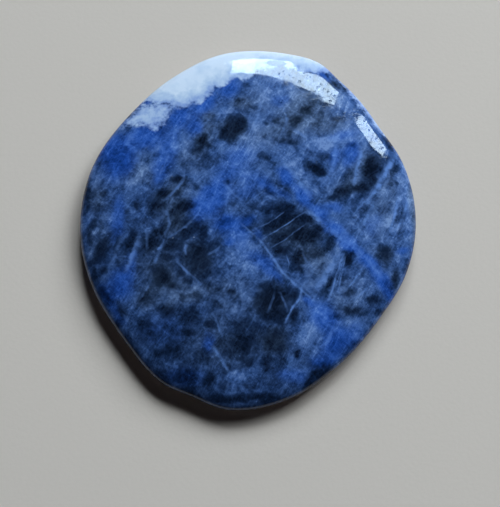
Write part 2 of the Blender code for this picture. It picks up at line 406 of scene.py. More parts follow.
        (-18.7, -11.2, 5.4, 4.2, 80, 0.9), (-17.8, -9.0, 4.2, 2.6, 60, 0.55),
        (-17.0, -6.6, 3.6, 2.0, 70, 0.4), (-20.6, -12.8, 4.0, 1.8, -62, 0.7),
        (-19.2, -15.5, 4.4, 1.8, -52, 0.6), (-5.9, -20.0, 3.6, 2.0, 80, 0.65),
        (-12.0, -18.0, 8.0, 5.0, 0, 0.35), (-9.5, -25.0, 7.0, 3.4, 0, 0.5),
        (11.0, -16.0, 5.8, 4.2, -62, 0.9), (12.7, -19.6, 5.4, 4.0, 45, 1.0),
        (15.4, -18.6, 4.4, 2.8, 45, 0.65), (11.4, -22.2, 5.4, 2.6, 22, 0.9),
        (6.5, -24.8, 5.4, 3.0, 0, 0.6), (8.9, -13.6, 2.4, 1.4, -45, 0.7), (3.0, 4.4, 4.0, 2.0, -40, 0.6),
        (5.5, 2.9, 2.8, 1.5, -40, 0.6), (23.0, -6.0, 2.6, 1.6, 0, 0.7), (-2.4, 22.0, 3.0, 1.0, 30, 0.6),
        (18.9, 12.5, 5.0, 1.2, -56, 0.5), (-14.9, 17.8, 4.0, 0.9, 20, 0.8),
    ),
    # Cloudy pale patches and wisps. A few thin strips are painted reflection along the lower left and right
    # rims.
    Tone.PALE: (
        # Upper left.
        (-17.6, 12.2, 3.4, 2.0, 60, 0.5), (-15.6, 7.4, 3.8, 2.4, 60, 0.5),
        (-17.2, 5.2, 3.6, 2.0, 70, 0.45), (-13.8, 10.8, 2.6, 0.9, 60, 0.35),
        (-4.2, 16.8, 2.8, 1.0, 60, 0.45), (2.2, 19.6, 5.6, 3.6, 70, 0.6), (1.3, 15.2, 2.8, 1.6, 80, 0.5),
        (-0.9, 12.0, 3.2, 1.6, 0, 0.5), (-10.7, 11.3, 2.4, 1.0, 50, 0.55),
        (-4.8, 13.2, 1.3, 0.9, 0, 0.45), (-8.6, 12.4, 1.6, 1.0, 40, 0.4),
        (-3.0, 10.6, 3.0, 1.4, 20, 0.35), (-19.4, 5.6, 2.0, 1.2, 60, 0.35),
        (-4.6, 6.2, 2.4, 1.0, 40, 0.3), (-8.2, 6.4, 2.0, 1.0, 50, 0.4), (-18.9, 15.0, 3.2, 0.8, 45, 0.7),
        (-23.3, 6.0, 6.0, 0.7, 74, 0.4), (-15.2, 4.4, 2.6, 0.9, 70, 0.45), (-1.3, 18.7, 0.6, 0.6, 0, 0.9),
        (-2.1, 13.0, 0.5, 0.5, 0, 0.8), (-11.7, 2.9, 0.7, 0.5, 60, 0.6),
        # Upper right.
        (5.3, 17.1, 2.1, 0.9, 80, 0.5), (14.4, 18.4, 3.4, 2.8, -50, 0.45),
        (13.5, 13.1, 4.8, 2.2, 15, 0.55), (11.0, 11.7, 4.2, 1.4, 15, 0.55),
        (15.9, 13.6, 3.2, 2.0, -30, 0.5), (17.5, 11.5, 2.6, 1.4, -60, 0.5),
        (12.9, 9.0, 4.6, 0.9, 80, 0.45), (5.3, 8.7, 3.4, 1.2, -30, 0.4), (7.4, 6.7, 3.8, 1.1, -45, 0.65),
        (9.6, 3.9, 3.2, 1.0, -48, 0.55), (4.5, 10.4, 3.2, 1.2, 20, 0.35), (1.0, 10.8, 2.6, 1.6, 0, 0.35),
        (11.2, 5.5, 2.6, 1.6, 60, 0.45), (8.6, 4.9, 2.4, 1.2, 60, 0.3), (8.4, 13.2, 3.0, 0.9, 20, 0.4),
        (11.4, 15.3, 2.4, 1.0, 60, 0.3), (6.2, 19.6, 3.0, 1.8, 40, 0.4), (23.4, 6.8, 4.0, 0.8, -72, 0.4),
        (20.0, 3.0, 4.6, 1.4, 66, 0.45), (22.6, 3.0, 3.4, 1.0, 70, 0.4), (14.1, 6.9, 2.6, 1.0, 70, 0.35),
        # Lower right.
        (1.0, -5.0, 2.8, 1.6, -45, 0.6), (14.6, -3.9, 4.8, 1.6, -45, 0.5),
        (18.6, -8.4, 4.2, 1.1, -50, 0.4), (19.0, -1.8, 3.6, 2.8, 60, 0.5), (18.7, 0.8, 5.0, 0.9, 62, 0.4),
        (21.6, -3.4, 3.2, 1.3, 70, 0.5), (23.6, -2.6, 4.2, 0.9, 85, 0.5), (24.2, 1.0, 5.0, 0.8, 88, 0.5),
        (19.3, -4.3, 2.6, 1.2, 0, 0.4), (12.0, -8.6, 5.4, 1.4, 60, 0.55),
        (9.4, -10.6, 3.8, 2.4, 20, 0.45), (16.4, -11.2, 4.0, 1.0, 65, 0.45),
        (13.3, -12.0, 3.6, 0.8, 70, 0.4), (16.6, -13.4, 2.2, 1.2, 0, 0.45),
        (10.7, -15.0, 4.0, 2.0, -52, 0.45), (8.4, -18.4, 3.8, 2.0, 82, 0.65),
        (9.0, -20.9, 2.4, 1.2, 20, 0.6), (14.4, -16.9, 3.2, 1.2, 0, 0.45),
        (16.3, -17.9, 2.6, 1.2, 45, 0.4), (12.0, -18.6, 3.6, 0.8, 56, 0.35),
        (1.3, -24.2, 3.2, 1.8, 20, 0.55), (4.9, -25.4, 2.6, 1.4, 0, 0.45),
        (6.3, -23.2, 3.0, 0.8, 82, 0.4), (10.4, -13.2, 2.2, 1.2, -40, 0.35),
        (9.9, -7.6, 1.8, 1.0, 0, 0.3), (9.3, -20.2, 0.6, 0.5, 0, 0.8), (3.3, -18.5, 0.6, 0.5, 0, 0.5),
        (2.0, -21.6, 2.2, 0.8, 60, 0.4), (12.6, -13.6, 2.4, 0.9, 0, 0.35),
        (22.9, -11.6, 2.0, 0.7, 60, 0.3),
        # Lower left.
        (-0.8, -5.0, 6.0, 2.2, 78, 0.6), (0.1, -7.8, 4.0, 2.3, 82, 0.5), (-1.7, -8.6, 3.2, 2.4, 0, 0.45),
        (-1.9, -13.0, 6.6, 3.2, 80, 0.5), (-3.6, -9.2, 3.2, 1.6, 20, 0.35),
        (-15.0, -14.5, 5.2, 1.3, 12, 0.5), (-11.4, -13.0, 4.0, 1.4, 26, 0.6),
        (-8.4, -11.2, 3.6, 1.4, 38, 0.6), (-6.7, -11.7, 2.2, 1.3, -40, 0.5),
        (-16.9, -6.4, 5.6, 1.0, 68, 0.55), (-14.6, -2.6, 1.8, 1.0, 30, 0.65),
        (-14.0, -1.7, 3.4, 0.9, 52, 0.4), (-13.2, -6.3, 3.2, 0.8, 72, 0.5),
        (-17.4, -9.0, 2.8, 1.6, 60, 0.4), (-1.7, -24.9, 2.8, 1.7, 0, 0.8),
        (-3.8, -22.6, 4.2, 1.0, -62, 0.55), (-5.8, -20.0, 3.2, 1.4, 80, 0.35),
        (-6.6, -23.2, 2.8, 1.3, 88, 0.3), (-3.8, -16.8, 2.6, 1.2, -60, 0.35),
        (-9.8, -16.9, 2.2, 1.4, 20, 0.35), (-11.0, -22.6, 3.6, 1.6, 10, 0.3),
        (-6.1, -13.4, 0.6, 0.5, 0, 0.8), (-1.4, -21.7, 0.6, 0.5, 30, 0.8),
        (-5.2, -2.7, 0.9, 0.5, -30, 0.7), (-11.3, -1.2, 0.5, 0.5, 0, 0.7),
        (-11.7, -2.2, 0.5, 0.5, 0, 0.7), (-16.0, -9.9, 2.4, 1.0, 50, 0.35),
        (-19.9, -0.9, 3.0, 1.0, 80, 0.35), (-20.6, -3.4, 3.0, 0.8, 75, 0.3),
        # The second cloud on the next line is painted reflection: a thin pale line along the lower left
        # rim, where the polish mirrors the floor at a grazing angle.
        (-13.4, -8.6, 1.6, 0.7, 60, 0.3), (-23.6, -11.0, 4.0, 0.6, -66, 0.4),
        (-19.0, -18.2, 5.0, 0.6, -56, 0.4), (-4.0, -7.4, 2.4, 0.9, 50, 0.3),
        # Broad lighter ground between the smoke, small touches on it, and a wide lightening of the upper
        # half and the right.
        (0.3, 18.5, 4.8, 3.2, 90, 0.4), (4.6, 18.2, 6.4, 4.6, 90, 0.5), (-3.5, 16.5, 3.6, 2.2, 30, 0.4),
        (1.2, 14.0, 4.2, 4.0, 0, 0.45), (2.0, 10.5, 4.4, 3.2, -40, 0.45), (-14.5, 8.0, 5.0, 4.0, 60, 0.3),
        (-10.5, 11.0, 4.2, 3.2, 50, 0.35), (-12.0, 6.5, 4.2, 4.0, 0, 0.25),
        (-7.5, 6.5, 4.2, 3.2, 50, 0.25), (-2.8, 8.5, 3.2, 2.6, 0, 0.25), (5.0, 8.0, 3.6, 3.0, -30, 0.35),
        (8.5, 8.6, 3.4, 2.2, 0, 0.35), (9.8, 13.5, 3.4, 3.0, 0, 0.4), (13.0, 11.2, 4.8, 3.2, 40, 0.45),
        (19.0, -0.3, 4.8, 3.6, 60, 0.45), (19.0, -3.0, 4.2, 3.2, 30, 0.55),
        # The last cloud on the next line is painted reflection of the lit floor along the right rim.
        (13.0, -2.0, 3.2, 2.6, 0, 0.4), (23.3, 5.5, 5.4, 2.4, 80, 0.55), (24.4, 0.0, 7.0, 1.8, 90, 0.5),
        (14.5, -5.8, 3.4, 2.2, 0, 0.3), (17.0, -12.0, 5.4, 4.0, 60, 0.35),
        (21.8, -12.0, 5.0, 2.2, 66, 0.35), (9.0, -19.0, 4.6, 3.2, 80, 0.4),
        (12.5, -13.0, 5.4, 4.0, 70, 0.3), (16.5, -18.5, 3.6, 2.2, 40, 0.35),
        (8.0, 3.5, 3.4, 2.6, -45, 0.35), (12.5, 4.0, 4.2, 3.2, 60, 0.25), (0.8, -4.3, 2.8, 2.2, 0, 0.35),
        (-1.5, -2.5, 2.4, 2.2, 0, 0.3), (0.8, -9.0, 4.4, 3.2, 0, 0.25), (5.3, -11.4, 2.6, 2.2, 0, 0.35),
        (3.3, 1.2, 2.2, 1.6, 0, 0.4), (-6.5, -2.2, 2.0, 1.6, 0, 0.3), (-15.0, 15.0, 6.0, 2.0, 30, 0.2),
        (-20.8, 3.0, 3.6, 2.6, 90, 0.25), (10.0, 20.6, 4.0, 2.0, -30, 0.3),
        # The four clouds on this line and the next lighten the upper half and the right side of the stone a
        # little.
        (12.0, 10.0, 34.0, 44.0, -35, 0.2), (21.0, -2.0, 14.0, 30.0, 10, 0.15),
        (-7.0, 9.0, 26.0, 18.0, 20, 0.2), (14.0, -6.0, 16.0, 12.0, 60, 0.15),
        (12.8, -2.2, 2.6, 3.6, 0, 0.4), (23.3, -8.3, 3.0, 1.4, 70, 0.35), (9.5, -18.5, 6.0, 3.6, 0, 0.35),
        (16.0, -18.8, 3.6, 2.0, 30, 0.3), (-2.0, 16.0, 3.2, 1.6, 10, 0.4), (13.8, 16.6, 2.6, 1.8, 0, 0.4),
        (1.6, 21.4, 3.4, 1.4, -10, 0.35), (4.6, 20.4, 2.2, 1.4, 0, 0.35), (6.2, 12.4, 3.2, 1.2, 10, 0.35),
        (2.3, 9.8, 1.8, 1.4, 0, 0.3), (-13.4, 4.4, 2.4, 1.4, 0, 0.4), (-5.4, 9.8, 1.6, 1.4, 0, 0.35),
        (19.0, 8.0, 1.8, 3.6, 10, 0.35), (9.8, 8.2, 3.6, 1.6, 0, 0.3), (-10.2, -16.8, 2.6, 2.0, 0, 0.35),
        (18.6, -12.6, 4.0, 3.0, 40, 0.35), (-11.0, -21.2, 2.0, 1.6, 0, 0.3),
        (-24.4, 1.5, 7.0, 1.4, 90, 0.4), (23.9, 5.0, 3.6, 1.4, -72, 0.4), (9.4, -20.6, 2.6, 2.0, 0, 0.3),
        # The first cloud on the next line is painted reflection: the thin pale line along the lower left
        # rim, where the polish mirrors the floor at a grazing angle.
        (-24.2, -8.4, 12.0, 1.6, -72, 0.9), (-14.0, -2.8, 1.8, 1.4, 0, 0.35),
        (19.8, 0.9, 2.0, 1.6, 60, 0.35), (18.9, -3.1, 2.4, 1.6, 0, 0.45), (19.2, 1.2, 2.0, 1.4, 60, 0.4),
        (-5.6, 9.8, 1.6, 1.4, 0, 0.4), (-13.4, 8.2, 3.2, 2.0, 40, 0.3), (11.5, -16.4, 2.0, 3.4, 0, 0.3),
        (-10.2, -16.6, 1.6, 2.0, 0, 0.3), (4.8, 16.8, 2.8, 1.6, 20, 0.35),
        (-8.0, 11.0, 2.0, 1.6, 40, 0.35), (-22.0, 2.6, 2.2, 3.4, 0, 0.3),
        (14.4, 18.4, 4.6, 1.9, -62, 1.0), (11.0, -6.8, 1.8, 3.2, 0, 0.25),
        (-19.0, 14.2, 1.6, 1.4, 0, 0.6), (16.2, -7.0, 1.8, 1.6, 0, 0.25), (8.6, 8.8, 1.8, 1.4, 0, 0.3),
    ),
    # A greyish veil that takes the blue down. Over the upper right it is partly painted reflection of the
    # room, and along the right rim it is painted reflection.
    Tone.GREY: (
        # The three clouds on the next line are partly painted reflection of the room, which greys the upper
        # right, and partly the rock's own grey.
        (9.5, 18.3, 9.5, 5.0, 20, 0.95), (9.0, 14.8, 9.5, 3.8, 0, 0.75), (5.5, 13.0, 8.0, 4.2, 0, 0.5),
        (1.0, 18.0, 6.0, 5.0, 0, 0.3), (17.4, 7.5, 9.0, 4.0, 66, 0.5), (21.0, 4.0, 9.0, 5.0, 62, 0.4),
        (9.6, -6.6, 5.4, 4.4, 0, 0.6), (4.0, -19.6, 5.0, 4.4, 0, 0.6), (-11.2, 1.6, 6.4, 5.0, 20, 0.5),
        (-12.5, -10.2, 5.2, 4.4, 0, 0.5), (-7.4, -6.8, 5.0, 5.4, 0, 0.5), (-6.6, 12.5, 5.4, 3.2, 70, 0.5),
        (-8.5, 9.0, 4.4, 4.0, 0, 0.35), (-16.5, 6.6, 5.4, 4.0, 0, 0.3), (-6.1, 15.8, 2.8, 2.0, 0, 0.55),
        (-2.4, 13.8, 5.4, 4.2, 0, 0.5), (-9.0, -12.4, 9.0, 3.2, 22, 0.45),
        (-3.0, -12.6, 8.0, 5.0, 80, 0.35), (14.8, -13.2, 6.0, 6.0, 0, 0.4),
        (6.5, -3.0, 8.0, 6.0, -20, 0.3), (-1.0, 17.6, 3.4, 2.4, 0, 0.5), (3.2, -13.6, 5.0, 4.0, 0, 0.4),
        (-22.0, -4.0, 8.0, 3.0, 80, 0.35), (-22.8, 2.6, 5.0, 3.0, 90, 0.5),
        (20.4, -6.4, 4.0, 3.0, -62, 0.4), (14.2, 4.0, 5.0, 3.0, 30, 0.4),
        (-14.6, -13.0, 4.0, 3.0, 40, 0.5), (13.6, 20.8, 3.4, 1.6, -44, 0.5),
        (-11.0, -1.6, 4.0, 3.4, 60, 0.5), (21.6, -10.6, 4.0, 2.0, 68, 0.4),
        # The first cloud on the next line is painted reflection of the lit floor along the right rim.
        (24.8, 0.0, 12.0, 1.6, 90, 0.8), (-13.0, -6.0, 12.0, 8.0, 60, 0.35),
        (-4.0, -20.0, 12.0, 8.0, 0, 0.35), (-10.0, -12.0, 10.0, 6.0, 20, 0.3),
        (7.0, -3.5, 9.0, 6.0, 0, 0.35), (3.0, -14.0, 8.0, 7.0, 0, 0.3), (1.0, 12.0, 6.0, 6.0, 0, 0.25),
        (13.0, 14.0, 8.0, 5.0, 0, 0.3), (20.0, -1.0, 6.0, 6.0, 60, 0.35), (-16.0, 7.0, 5.0, 5.0, 0, 0.25),
        (-10.8, 4.4, 4.0, 3.6, 0, 0.4), (11.0, -8.5, 8.0, 4.0, 60, 0.3),
    ),
}

# Seams that lean to the left, and seams that lean to the right, so that the two kinds may cross.
LEFT_LEANING: tuple[Seam, ...] = (
    Seam(
        ((-1.4, -1.2), (0.5, -2.9), (2.0, -4.4), (3.7, -6.8), (5.3, -9.2), (7.3, -11.3), (9.9, -13.7)),
        0.3,
        0.75,
    ),
    Seam(((4.3, 8.8), (6.3, 6.8), (8.3, 4.3), (9.5, 2.5)), 0.5, 0.55),
    Seam(((8.6, 0.5), (9.5, -0.1), (10.2, -0.7), (11.0, -1.5)), 0.6, 1.0),
    Seam(((11.0, -1.5), (13.3, -3.4), (15.8, -5.2)), 0.6, 0.4),
    Seam(((-10.6, -7.3), (-9.3, -8.6), (-8.0, -9.9), (-6.6, -11.0)), 0.35, 0.6),
    Seam(((-8.9, -4.8), (-9.2, -5.6), (-9.1, -6.5)), 0.3, 0.45),
    Seam(((-5.2, -20.2), (-3.9, -22.4), (-2.8, -24.3)), 0.4, 0.7),
    Seam(((4.5, -12.0), (5.3, -13.6), (5.8, -15.2)), 0.3, 0.4),
    Seam(((8.0, -5.9), (8.7, -7.4), (9.9, -8.7)), 0.3, 0.3),
    Seam(((6.2, 14.0), (8.4, 12.5), (9.8, 11.4)), 0.35, 0.35),
    Seam(((16.4, -5.6), (18.4, -8.2), (20.2, -10.4)), 0.4, 0.35),
    Seam(((-6.0, -13.6), (-4.8, -16.0), (-3.6, -19.4)), 0.3, 0.35),
    Seam(((-16.0, -1.4), (-15.0, -3.2), (-14.9, -5.6)), 0.35, 0.3),
    Seam(((-3.8, 5.4), (-2.0, 3.0), (-0.2, 1.6)), 0.3, 0.35),
)
RIGHT_LEANING: tuple[Seam, ...] = (
    Seam(((8.0, -11.0), (7.7, -13.1), (6.7, -14.3), (5.2, -17.1)), 0.28, 0.9),
    Seam(((2.3, -3.8), (4.5, -2.5), (7.4, -0.4), (8.6, 0.4)), 0.16, 0.7),
    Seam(((3.4, -5.2), (5.4, -4.0), (8.7, -1.5)), 0.16, 0.55),
    Seam(((1.7, -2.0), (3.1, -1.3), (5.4, 0.4)), 0.16, 0.5),
    Seam(((-0.6, 1.3), (1.1, 2.8), (2.8, 3.9)), 0.18, 0.4),
    Seam(((6.0, -8.7), (6.1, -7.6), (5.6, -6.3)), 0.14, 0.6),
    Seam(((15.3, -0.6), (16.6, 1.0), (17.8, 2.5)), 0.2, 0.45),
    Seam(((21.2, -3.7), (22.5, -1.4), (24.1, 1.0)), 0.25, 0.5),
    Seam(((11.7, -13.8), (12.4, -11.6), (13.1, -9.2), (14.4, -6.0)), 0.2, 0.65),
    Seam(((13.2, -12.5), (13.5, -10.7), (14.0, -8.6), (14.5, -6.6)), 0.18, 0.6),
    Seam(((14.0, -12.4), (15.4, -10.7), (17.1, -8.1)), 0.25, 0.55),
    Seam(((15.4, -13.7), (16.9, -12.2), (18.7, -10.6)), 0.25, 0.45),
    Seam(((15.8, 4.6), (16.5, 7.8), (17.3, 10.7)), 0.45, 0.85),
    Seam(((17.6, 1.4), (19.3, 4.4), (21.2, 7.6), (22.3, 9.8)), 0.7, 0.95),
    Seam(((-12.4, -4.2), (-13.1, -5.8), (-13.7, -7.9)), 0.4, 0.75),
    Seam(((-16.0, -3.6), (-17.2, -6.8), (-18.2, -9.4)), 0.6, 0.6),
    Seam(((-12.6, 1.8), (-11.3, 3.2), (-9.5, 5.9)), 0.4, 0.5),
    Seam(((-13.2, 6.3), (-12.6, 7.9)), 0.3, 0.5),
    Seam(((-12.4, 8.3), (-11.8, 9.6)), 0.3, 0.55),
    Seam(((6.6, -21.3), (6.3, -22.8), (5.9, -24.4)), 0.45, 0.45),
    Seam(((-11.9, -3.9), (-9.2, -1.9), (-7.2, 0.2)), 0.3, 0.45),
    Seam(((-12.2, 0.6), (-11.6, -1.6), (-12.4, -3.4)), 0.35, 0.5),
    Seam(((-6.2, -6.4), (-4.4, -5.5), (-2.8, -3.9)), 0.3, 0.45),
    Seam(((16.9, -2.2), (17.8, 0.0), (18.8, 2.0)), 0.4, 0.65),
    Seam(((20.8, -3.4), (21.9, 0.2), (22.7, 3.0)), 0.4, 0.8),
    Seam(((22.9, -1.6), (23.9, 2.4)), 0.4, 0.7),
    Seam(((9.7, -12.2), (12.0, -8.6), (13.9, -6.0)), 0.7, 0.55),
    Seam(((2.8, -15.4), (3.6, -13.2), (4.0, -11.8)), 0.3, 0.3),
    Seam(((-15.9, -13.2), (-15.0, -11.9), (-14.2, -10.2)), 0.3, 0.4),
    Seam(((1.0, -23.4), (2.0, -21.4)), 0.35, 0.35),
    Seam(((10.8, -20.6), (12.1, -18.2), (13.2, -16.8)), 0.4, 0.3),
    Seam(((-17.2, 8.4), (-15.0, 11.0), (-13.6, 12.4)), 0.35, 0.3),
    Seam(((5.0, 12.6), (5.9, 14.8), (5.2, 17.8)), 0.35, 0.35),
    Seam(((0.4, 13.0), (1.6, 15.6), (2.0, 18.4)), 0.4, 0.3),
    Seam(((11.4, 5.0), (12.6, 7.4), (13.4, 11.4)), 0.4, 0.35),
    Seam(((-21.4, -10.4), (-19.6, -6.4), (-18.6, -3.0)), 0.4, 0.25),
    Seam(((-3.2, -27.2), (-2.6, -25.2)), 0.35, 0.3),
)

# The white rim's lower edge, from the left flank to the right one, and the bluish white island beside it.
WHITE_EDGE: Points = (
    (-21.0, 19.0), (-16.6, 18.3), (-14.5, 17.9), (-13.2, 17.6), (-12.3, 17.7), (-11.6, 17.5),
    (-10.6, 17.1), (-9.9, 16.9), (-9.2, 17.2), (-8.5, 17.8), (-8.1, 18.2), (-7.9, 17.8), (-7.3, 17.8),
    (-6.6, 18.4), (-5.9, 19.0), (-5.4, 19.5), (-5.0, 20.3), (-4.4, 20.3), (-3.6, 20.6), (-2.8, 21.2),
    (-2.1, 21.9), (-1.5, 22.3), (-0.9, 21.8), (0.2, 21.9), (0.8, 22.4), (1.4, 22.9), (2.3, 23.5),
    (2.9, 23.3), (3.6, 23.5), (5.0, 24.0), (7.0, 23.2), (8.5, 22.6), (10.3, 22.7), (11.8, 22.7),
    (12.8, 23.0), (13.6, 22.2), (14.4, 21.0), (15.2, 19.8), (16.0, 18.6), (18.0, 15.8), (19.6, 13.4),
    (20.6, 12.6), (24.0, 12.0),
)
WHITE_ISLAND: Points = (
    (-16.6, 17.0), (-15.9, 17.6), (-14.2, 17.6), (-13.2, 18.2), (-11.8, 18.0), (-11.5, 16.8),
    (-12.0, 15.8), (-12.3, 14.8), (-13.2, 14.0), (-13.9, 13.3), (-14.6, 13.4), (-15.3, 13.9),
    (-16.3, 14.1), (-17.2, 14.0), (-18.8, 14.0), (-18.2, 15.2), (-17.0, 16.4),
)
BLUE_LENS = Cloud(4.2, 24.4, 3.0, 0.8, -3, 1.0)

# Tiny pits in the polish near the upper right edge: where each is, and how wide.
PITS: tuple[tuple[float, float, float], ...] = (
    (4.7, 22.6, 0.4), (7.9, 21.3, 0.45), (8.6, 22.7, 0.3), (10.1, 19.6, 0.3), (10.6, 20.3, 0.4),
    (11.2, 20.8, 0.35), (12.3, 19.6, 0.4), (12.5, 18.1, 0.5), (13.2, 18.9, 0.45), (17.6, 14.9, 0.35),
    (18.3, 13.4, 0.35), (19.4, 12.2, 0.4), (20.2, 10.4, 0.3), (9.4, 22.0, 0.25), (6.3, 22.4, 0.25),
)


@dataclass
class Markings:
    """Works out the tone of every point of the surface from markings laid out on one level sheet.

    A marking runs down through the stone along lines that spread from one point high above it, so the rim
    carries on what the top face shows. The underside shows the same kinds of marking, turned about.
    """

    spread_from: tuple[float, float, float] = (0.3, -97.3, 288.2)
    sheet_middle: tuple[float, float] = (0.3, -96.2)
    sheet_drop: float = 277.2
    under_turn: float = 150.0
    under_levels: tuple[float, float] = (1.0, 2.4)
    warp_waves: tuple[tuple[float, float], ...] = ((6.0, 0.45), (2.4, 0.4), (1.0, 0.2))
    warp_seed: int = 3
    line_looseness: float = 0.3
    soft_edge: tuple[float, float] = (1.55, 0.2)
    seam_reach: float = 0.9
    farthest: float = 9.0
    deepest_white: float = 4.0
    lens_bite: float = 2.7
    island_depth: float = 0.45

    def wander(self, points: np.ndarray) -> np.ndarray:
        """How far each point's pattern is pulled sideways, so that drawn forms turn irregular.

        Args:
            points: Points in millimetres.

        Returns:
            Two distances in millimetres for each point.
        """
        # Without a seed, this noise takes the clock's time and differs in each run.
        noise.seed_set(self.warp_seed)
        pull = np.zeros((len(points), 2))
        for wave, reach in self.warp_waves:
            step = [noise.noise_vector(Vector(point / wave))[:2] for point in points]
            pull += reach * np.array(step)
        return pull

    def sheet_places(self, points: np.ndarray) -> tuple[np.ndarray, np.ndarray]:
        """Carries points to the layout's sheet, once for the top and once for the underside.

        Args:
            points: Points in millimetres.

        Returns:
            Places on the sheet for the top, and for the underside.
        """
        drop = self.sheet_drop / (self.spread_from[2] - points[:, 2])
        top = self.sheet_middle + (points[:, :2] - self.spread_from[:2]) * drop[:, None]
        turn = math.radians(self.under_turn)
        spin = np.array([[math.cos(turn), math.sin(turn)], [-math.sin(turn), math.cos(turn)]])
        return top, (top * (-1, 1)) @ spin

    def tone(self, plan: np.ndarray, tone: Tone) -> np.ndarray:
        """Joins all the clouds of one tone.

        Args:
            plan: Places on the sheet.
            tone: The tone wanted.

        Returns:
            The tone's strength from 0 to 1 at each place.
        """
        bare = np.ones(len(plan))
        for row in CLOUDS[tone]:
            cloud = Cloud(*row)
            bare *= 1 - cloud.strength * smooth_step(*self.soft_edge, self.cloud_share(plan, cloud))
        return 1 - bare

    def cloud_share(self, plan: np.ndarray, cloud: Cloud) -> np.ndarray:
        """How far out from a cloud's middle each place lies.

        Args:
            plan: Places on the sheet.
            cloud: The cloud.

        Returns:
            A share of the way to the cloud's edge.
        """
        turn = math.radians(cloud.turn)
        dx, dy = plan[:, 0] - cloud.x, plan[:, 1] - cloud.y
        along = (dx * math.cos(turn) + dy * math.sin(turn)) / (cloud.long / 2)
        across = (dy * math.cos(turn) - dx * math.sin(turn)) / (cloud.short / 2)
        return np.hypot(along, across)

    def seams(self, plan: np.ndarray, seams: tuple[Seam, ...]) -> tuple[np.ndarray, np.ndarray]:
        """Finds the nearest seam of each place.

        Args:
            plan: Places on the sheet.
            seams: The seams of one lean.

        Returns:
            The signed distance to the seam's middle in half widths, and the seam's strength.
        """
        nearest = np.full(len(plan), np.inf)
        side, strength = np.full(len(plan), self.farthest), np.zeros(len(plan))
        for seam in seams:
            legs = list(zip(seam.route, seam.route[1:]))
            lengths = [math.dist(start, end) for start, end in legs]
            passed = 0.0
            for (start, end), length in zip(legs, lengths):
                way = (np.array(end) - start) / length
                offset = plan - start
                along = offset @ way
                across = offset @ np.array([-way[1], way[0]])
                beyond = np.maximum(0, np.maximum(-along, along - length))
                distance = np.hypot(across, beyond)
                closer = distance < nearest
                share = (passed + np.clip(along, 0, length)) / sum(lengths)
                taper = np.sqrt(np.clip(4 * share * (1 - share), 0, 1))
                fade = smooth_step(self.seam_reach, self.seam_reach / 2, distance)
                nearest = np.where(closer, distance, nearest)
                signed = np.where(across < 0, -distance, distance)
                side = np.where(closer, signed / (seam.width / 2), side)
                strength = np.where(closer, seam.strength * taper * fade, strength)
                passed += length
        return np.clip(side, -self.farthest, self.farthest), strength

    def white(self, plan: np.ndarray) -> np.ndarray:
        """How deep each place lies inside the white rim or its island, less the blue lens in the rim.

        Args:
            plan: Places on the sheet.

        Returns:
            Millimetres to the white's edge, positive inside it.
        """
        edge = np.array(WHITE_EDGE)
        over = np.sign(plan[:, 1] - np.interp(plan[:, 0], edge[:, 0], edge[:, 1]))
        rim = self.distance_to(plan, edge) * over
        outline = np.array(WHITE_ISLAND + WHITE_ISLAND[:1])
        inside = np.zeros(len(plan), dtype=bool)
        for (ax, ay), (bx, by) in zip(outline, outline[1:]):
            crosses = (ay > plan[:, 1]) != (by > plan[:, 1])
            slope = (bx - ax) / (by - ay) if by != ay else 0.0
            inside ^= crosses & (plan[:, 0] < ax + (plan[:, 1] - ay) * slope)
        island = self.distance_to(plan, outline) * np.where(inside, self.island_depth, -1)
        depth = np.clip(np.maximum(rim, island), -self.deepest_white, self.deepest_white)
        return depth - self.lens_bite * smooth_step(*self.soft_edge, self.cloud_share(plan, BLUE_LENS))

    def distance_to(self, plan: np.ndarray, line: np.ndarray) -> np.ndarray:
        """The distance from each place to a line of straight legs.

        Args:
            plan: Places on the sheet.
            line: The line's points.

        Returns:
            Millimetres to its nearest leg.
        """
        nearest = np.full(len(plan), np.inf)
        for start, end in zip(line, line[1:]):
            leg = end - start
            share = np.clip((plan - start) @ leg / (leg @ leg), 0, 1)
            nearest = np.minimum(nearest, np.linalg.norm(plan - start - share[:, None] * leg, axis=1))
        return nearest

    def pit_offsets(self, plan: np.ndarray) -> np.ndarray:
        """The way from the nearest pit to each place, which keeps a pit round between the mesh's points.

        Args:
            plan: Places on the sheet.

        Returns:
            Across, along and 0 for each place, in the pit's half widths.
        """
        nearest = np.full(len(plan), np.inf)
        offsets = np.zeros((len(plan), 3))
        for x, y, width in PITS:
            way = (plan - (x, y)) / (width / 2)
            distance = np.linalg.norm(way, axis=1)
            closer = distance < nearest
            nearest[closer] = distance[closer]
            offsets[closer, :2] = way[closer]
        return offsets

    def write(self, mesh: bpy.types.Mesh, points: np.ndarray) -> None:
        """Stores the markings on the mesh, one value a point.

        Args:
            mesh: The stone's mesh.
            points: Its points in millimetres.
        """
        pull = self.wander(points)
        top, under = self.sheet_places(points)
        share = smooth_step(*self.under_levels, points[:, 2])
        layers: dict[str, np.ndarray] = {}
        for tone in Tone:
            upper, lower = self.tone(top + pull, tone), self.tone(under + pull, tone)
            layers[tone.value] = share * upper + (1 - share) * lower
        top, under = top + pull * self.line_looseness, under + pull * self.line_looseness
        layers["white_depth"] = share * self.white(top) + (1 - share) * self.white(under)
        for name, seams in (("left_seam", LEFT_LEANING), ("right_seam", RIGHT_LEANING)):
            top_side, top_strength = self.seams(top, seams)
            under_side, under_strength = self.seams(under, seams)
            on_top = share > 0.5
            layers[f"{name}_side"] = np.where(on_top, top_side, under_side)
            strength = np.where(on_top, top_strength, under_strength)
            layers[f"{name}_strength"] = strength * np.abs(2 * share - 1)
        for name, values in layers.items():
            layer = mesh.attributes.new(name, "FLOAT", "POINT")
            layer.data.foreach_set("value", values.astype(np.float32))
        offsets = mesh.attributes.new("pit_offset", "FLOAT_VECTOR", "POINT")
        offsets.data.foreach_set("vector", self.pit_offsets(top).astype(np.float32).ravel())


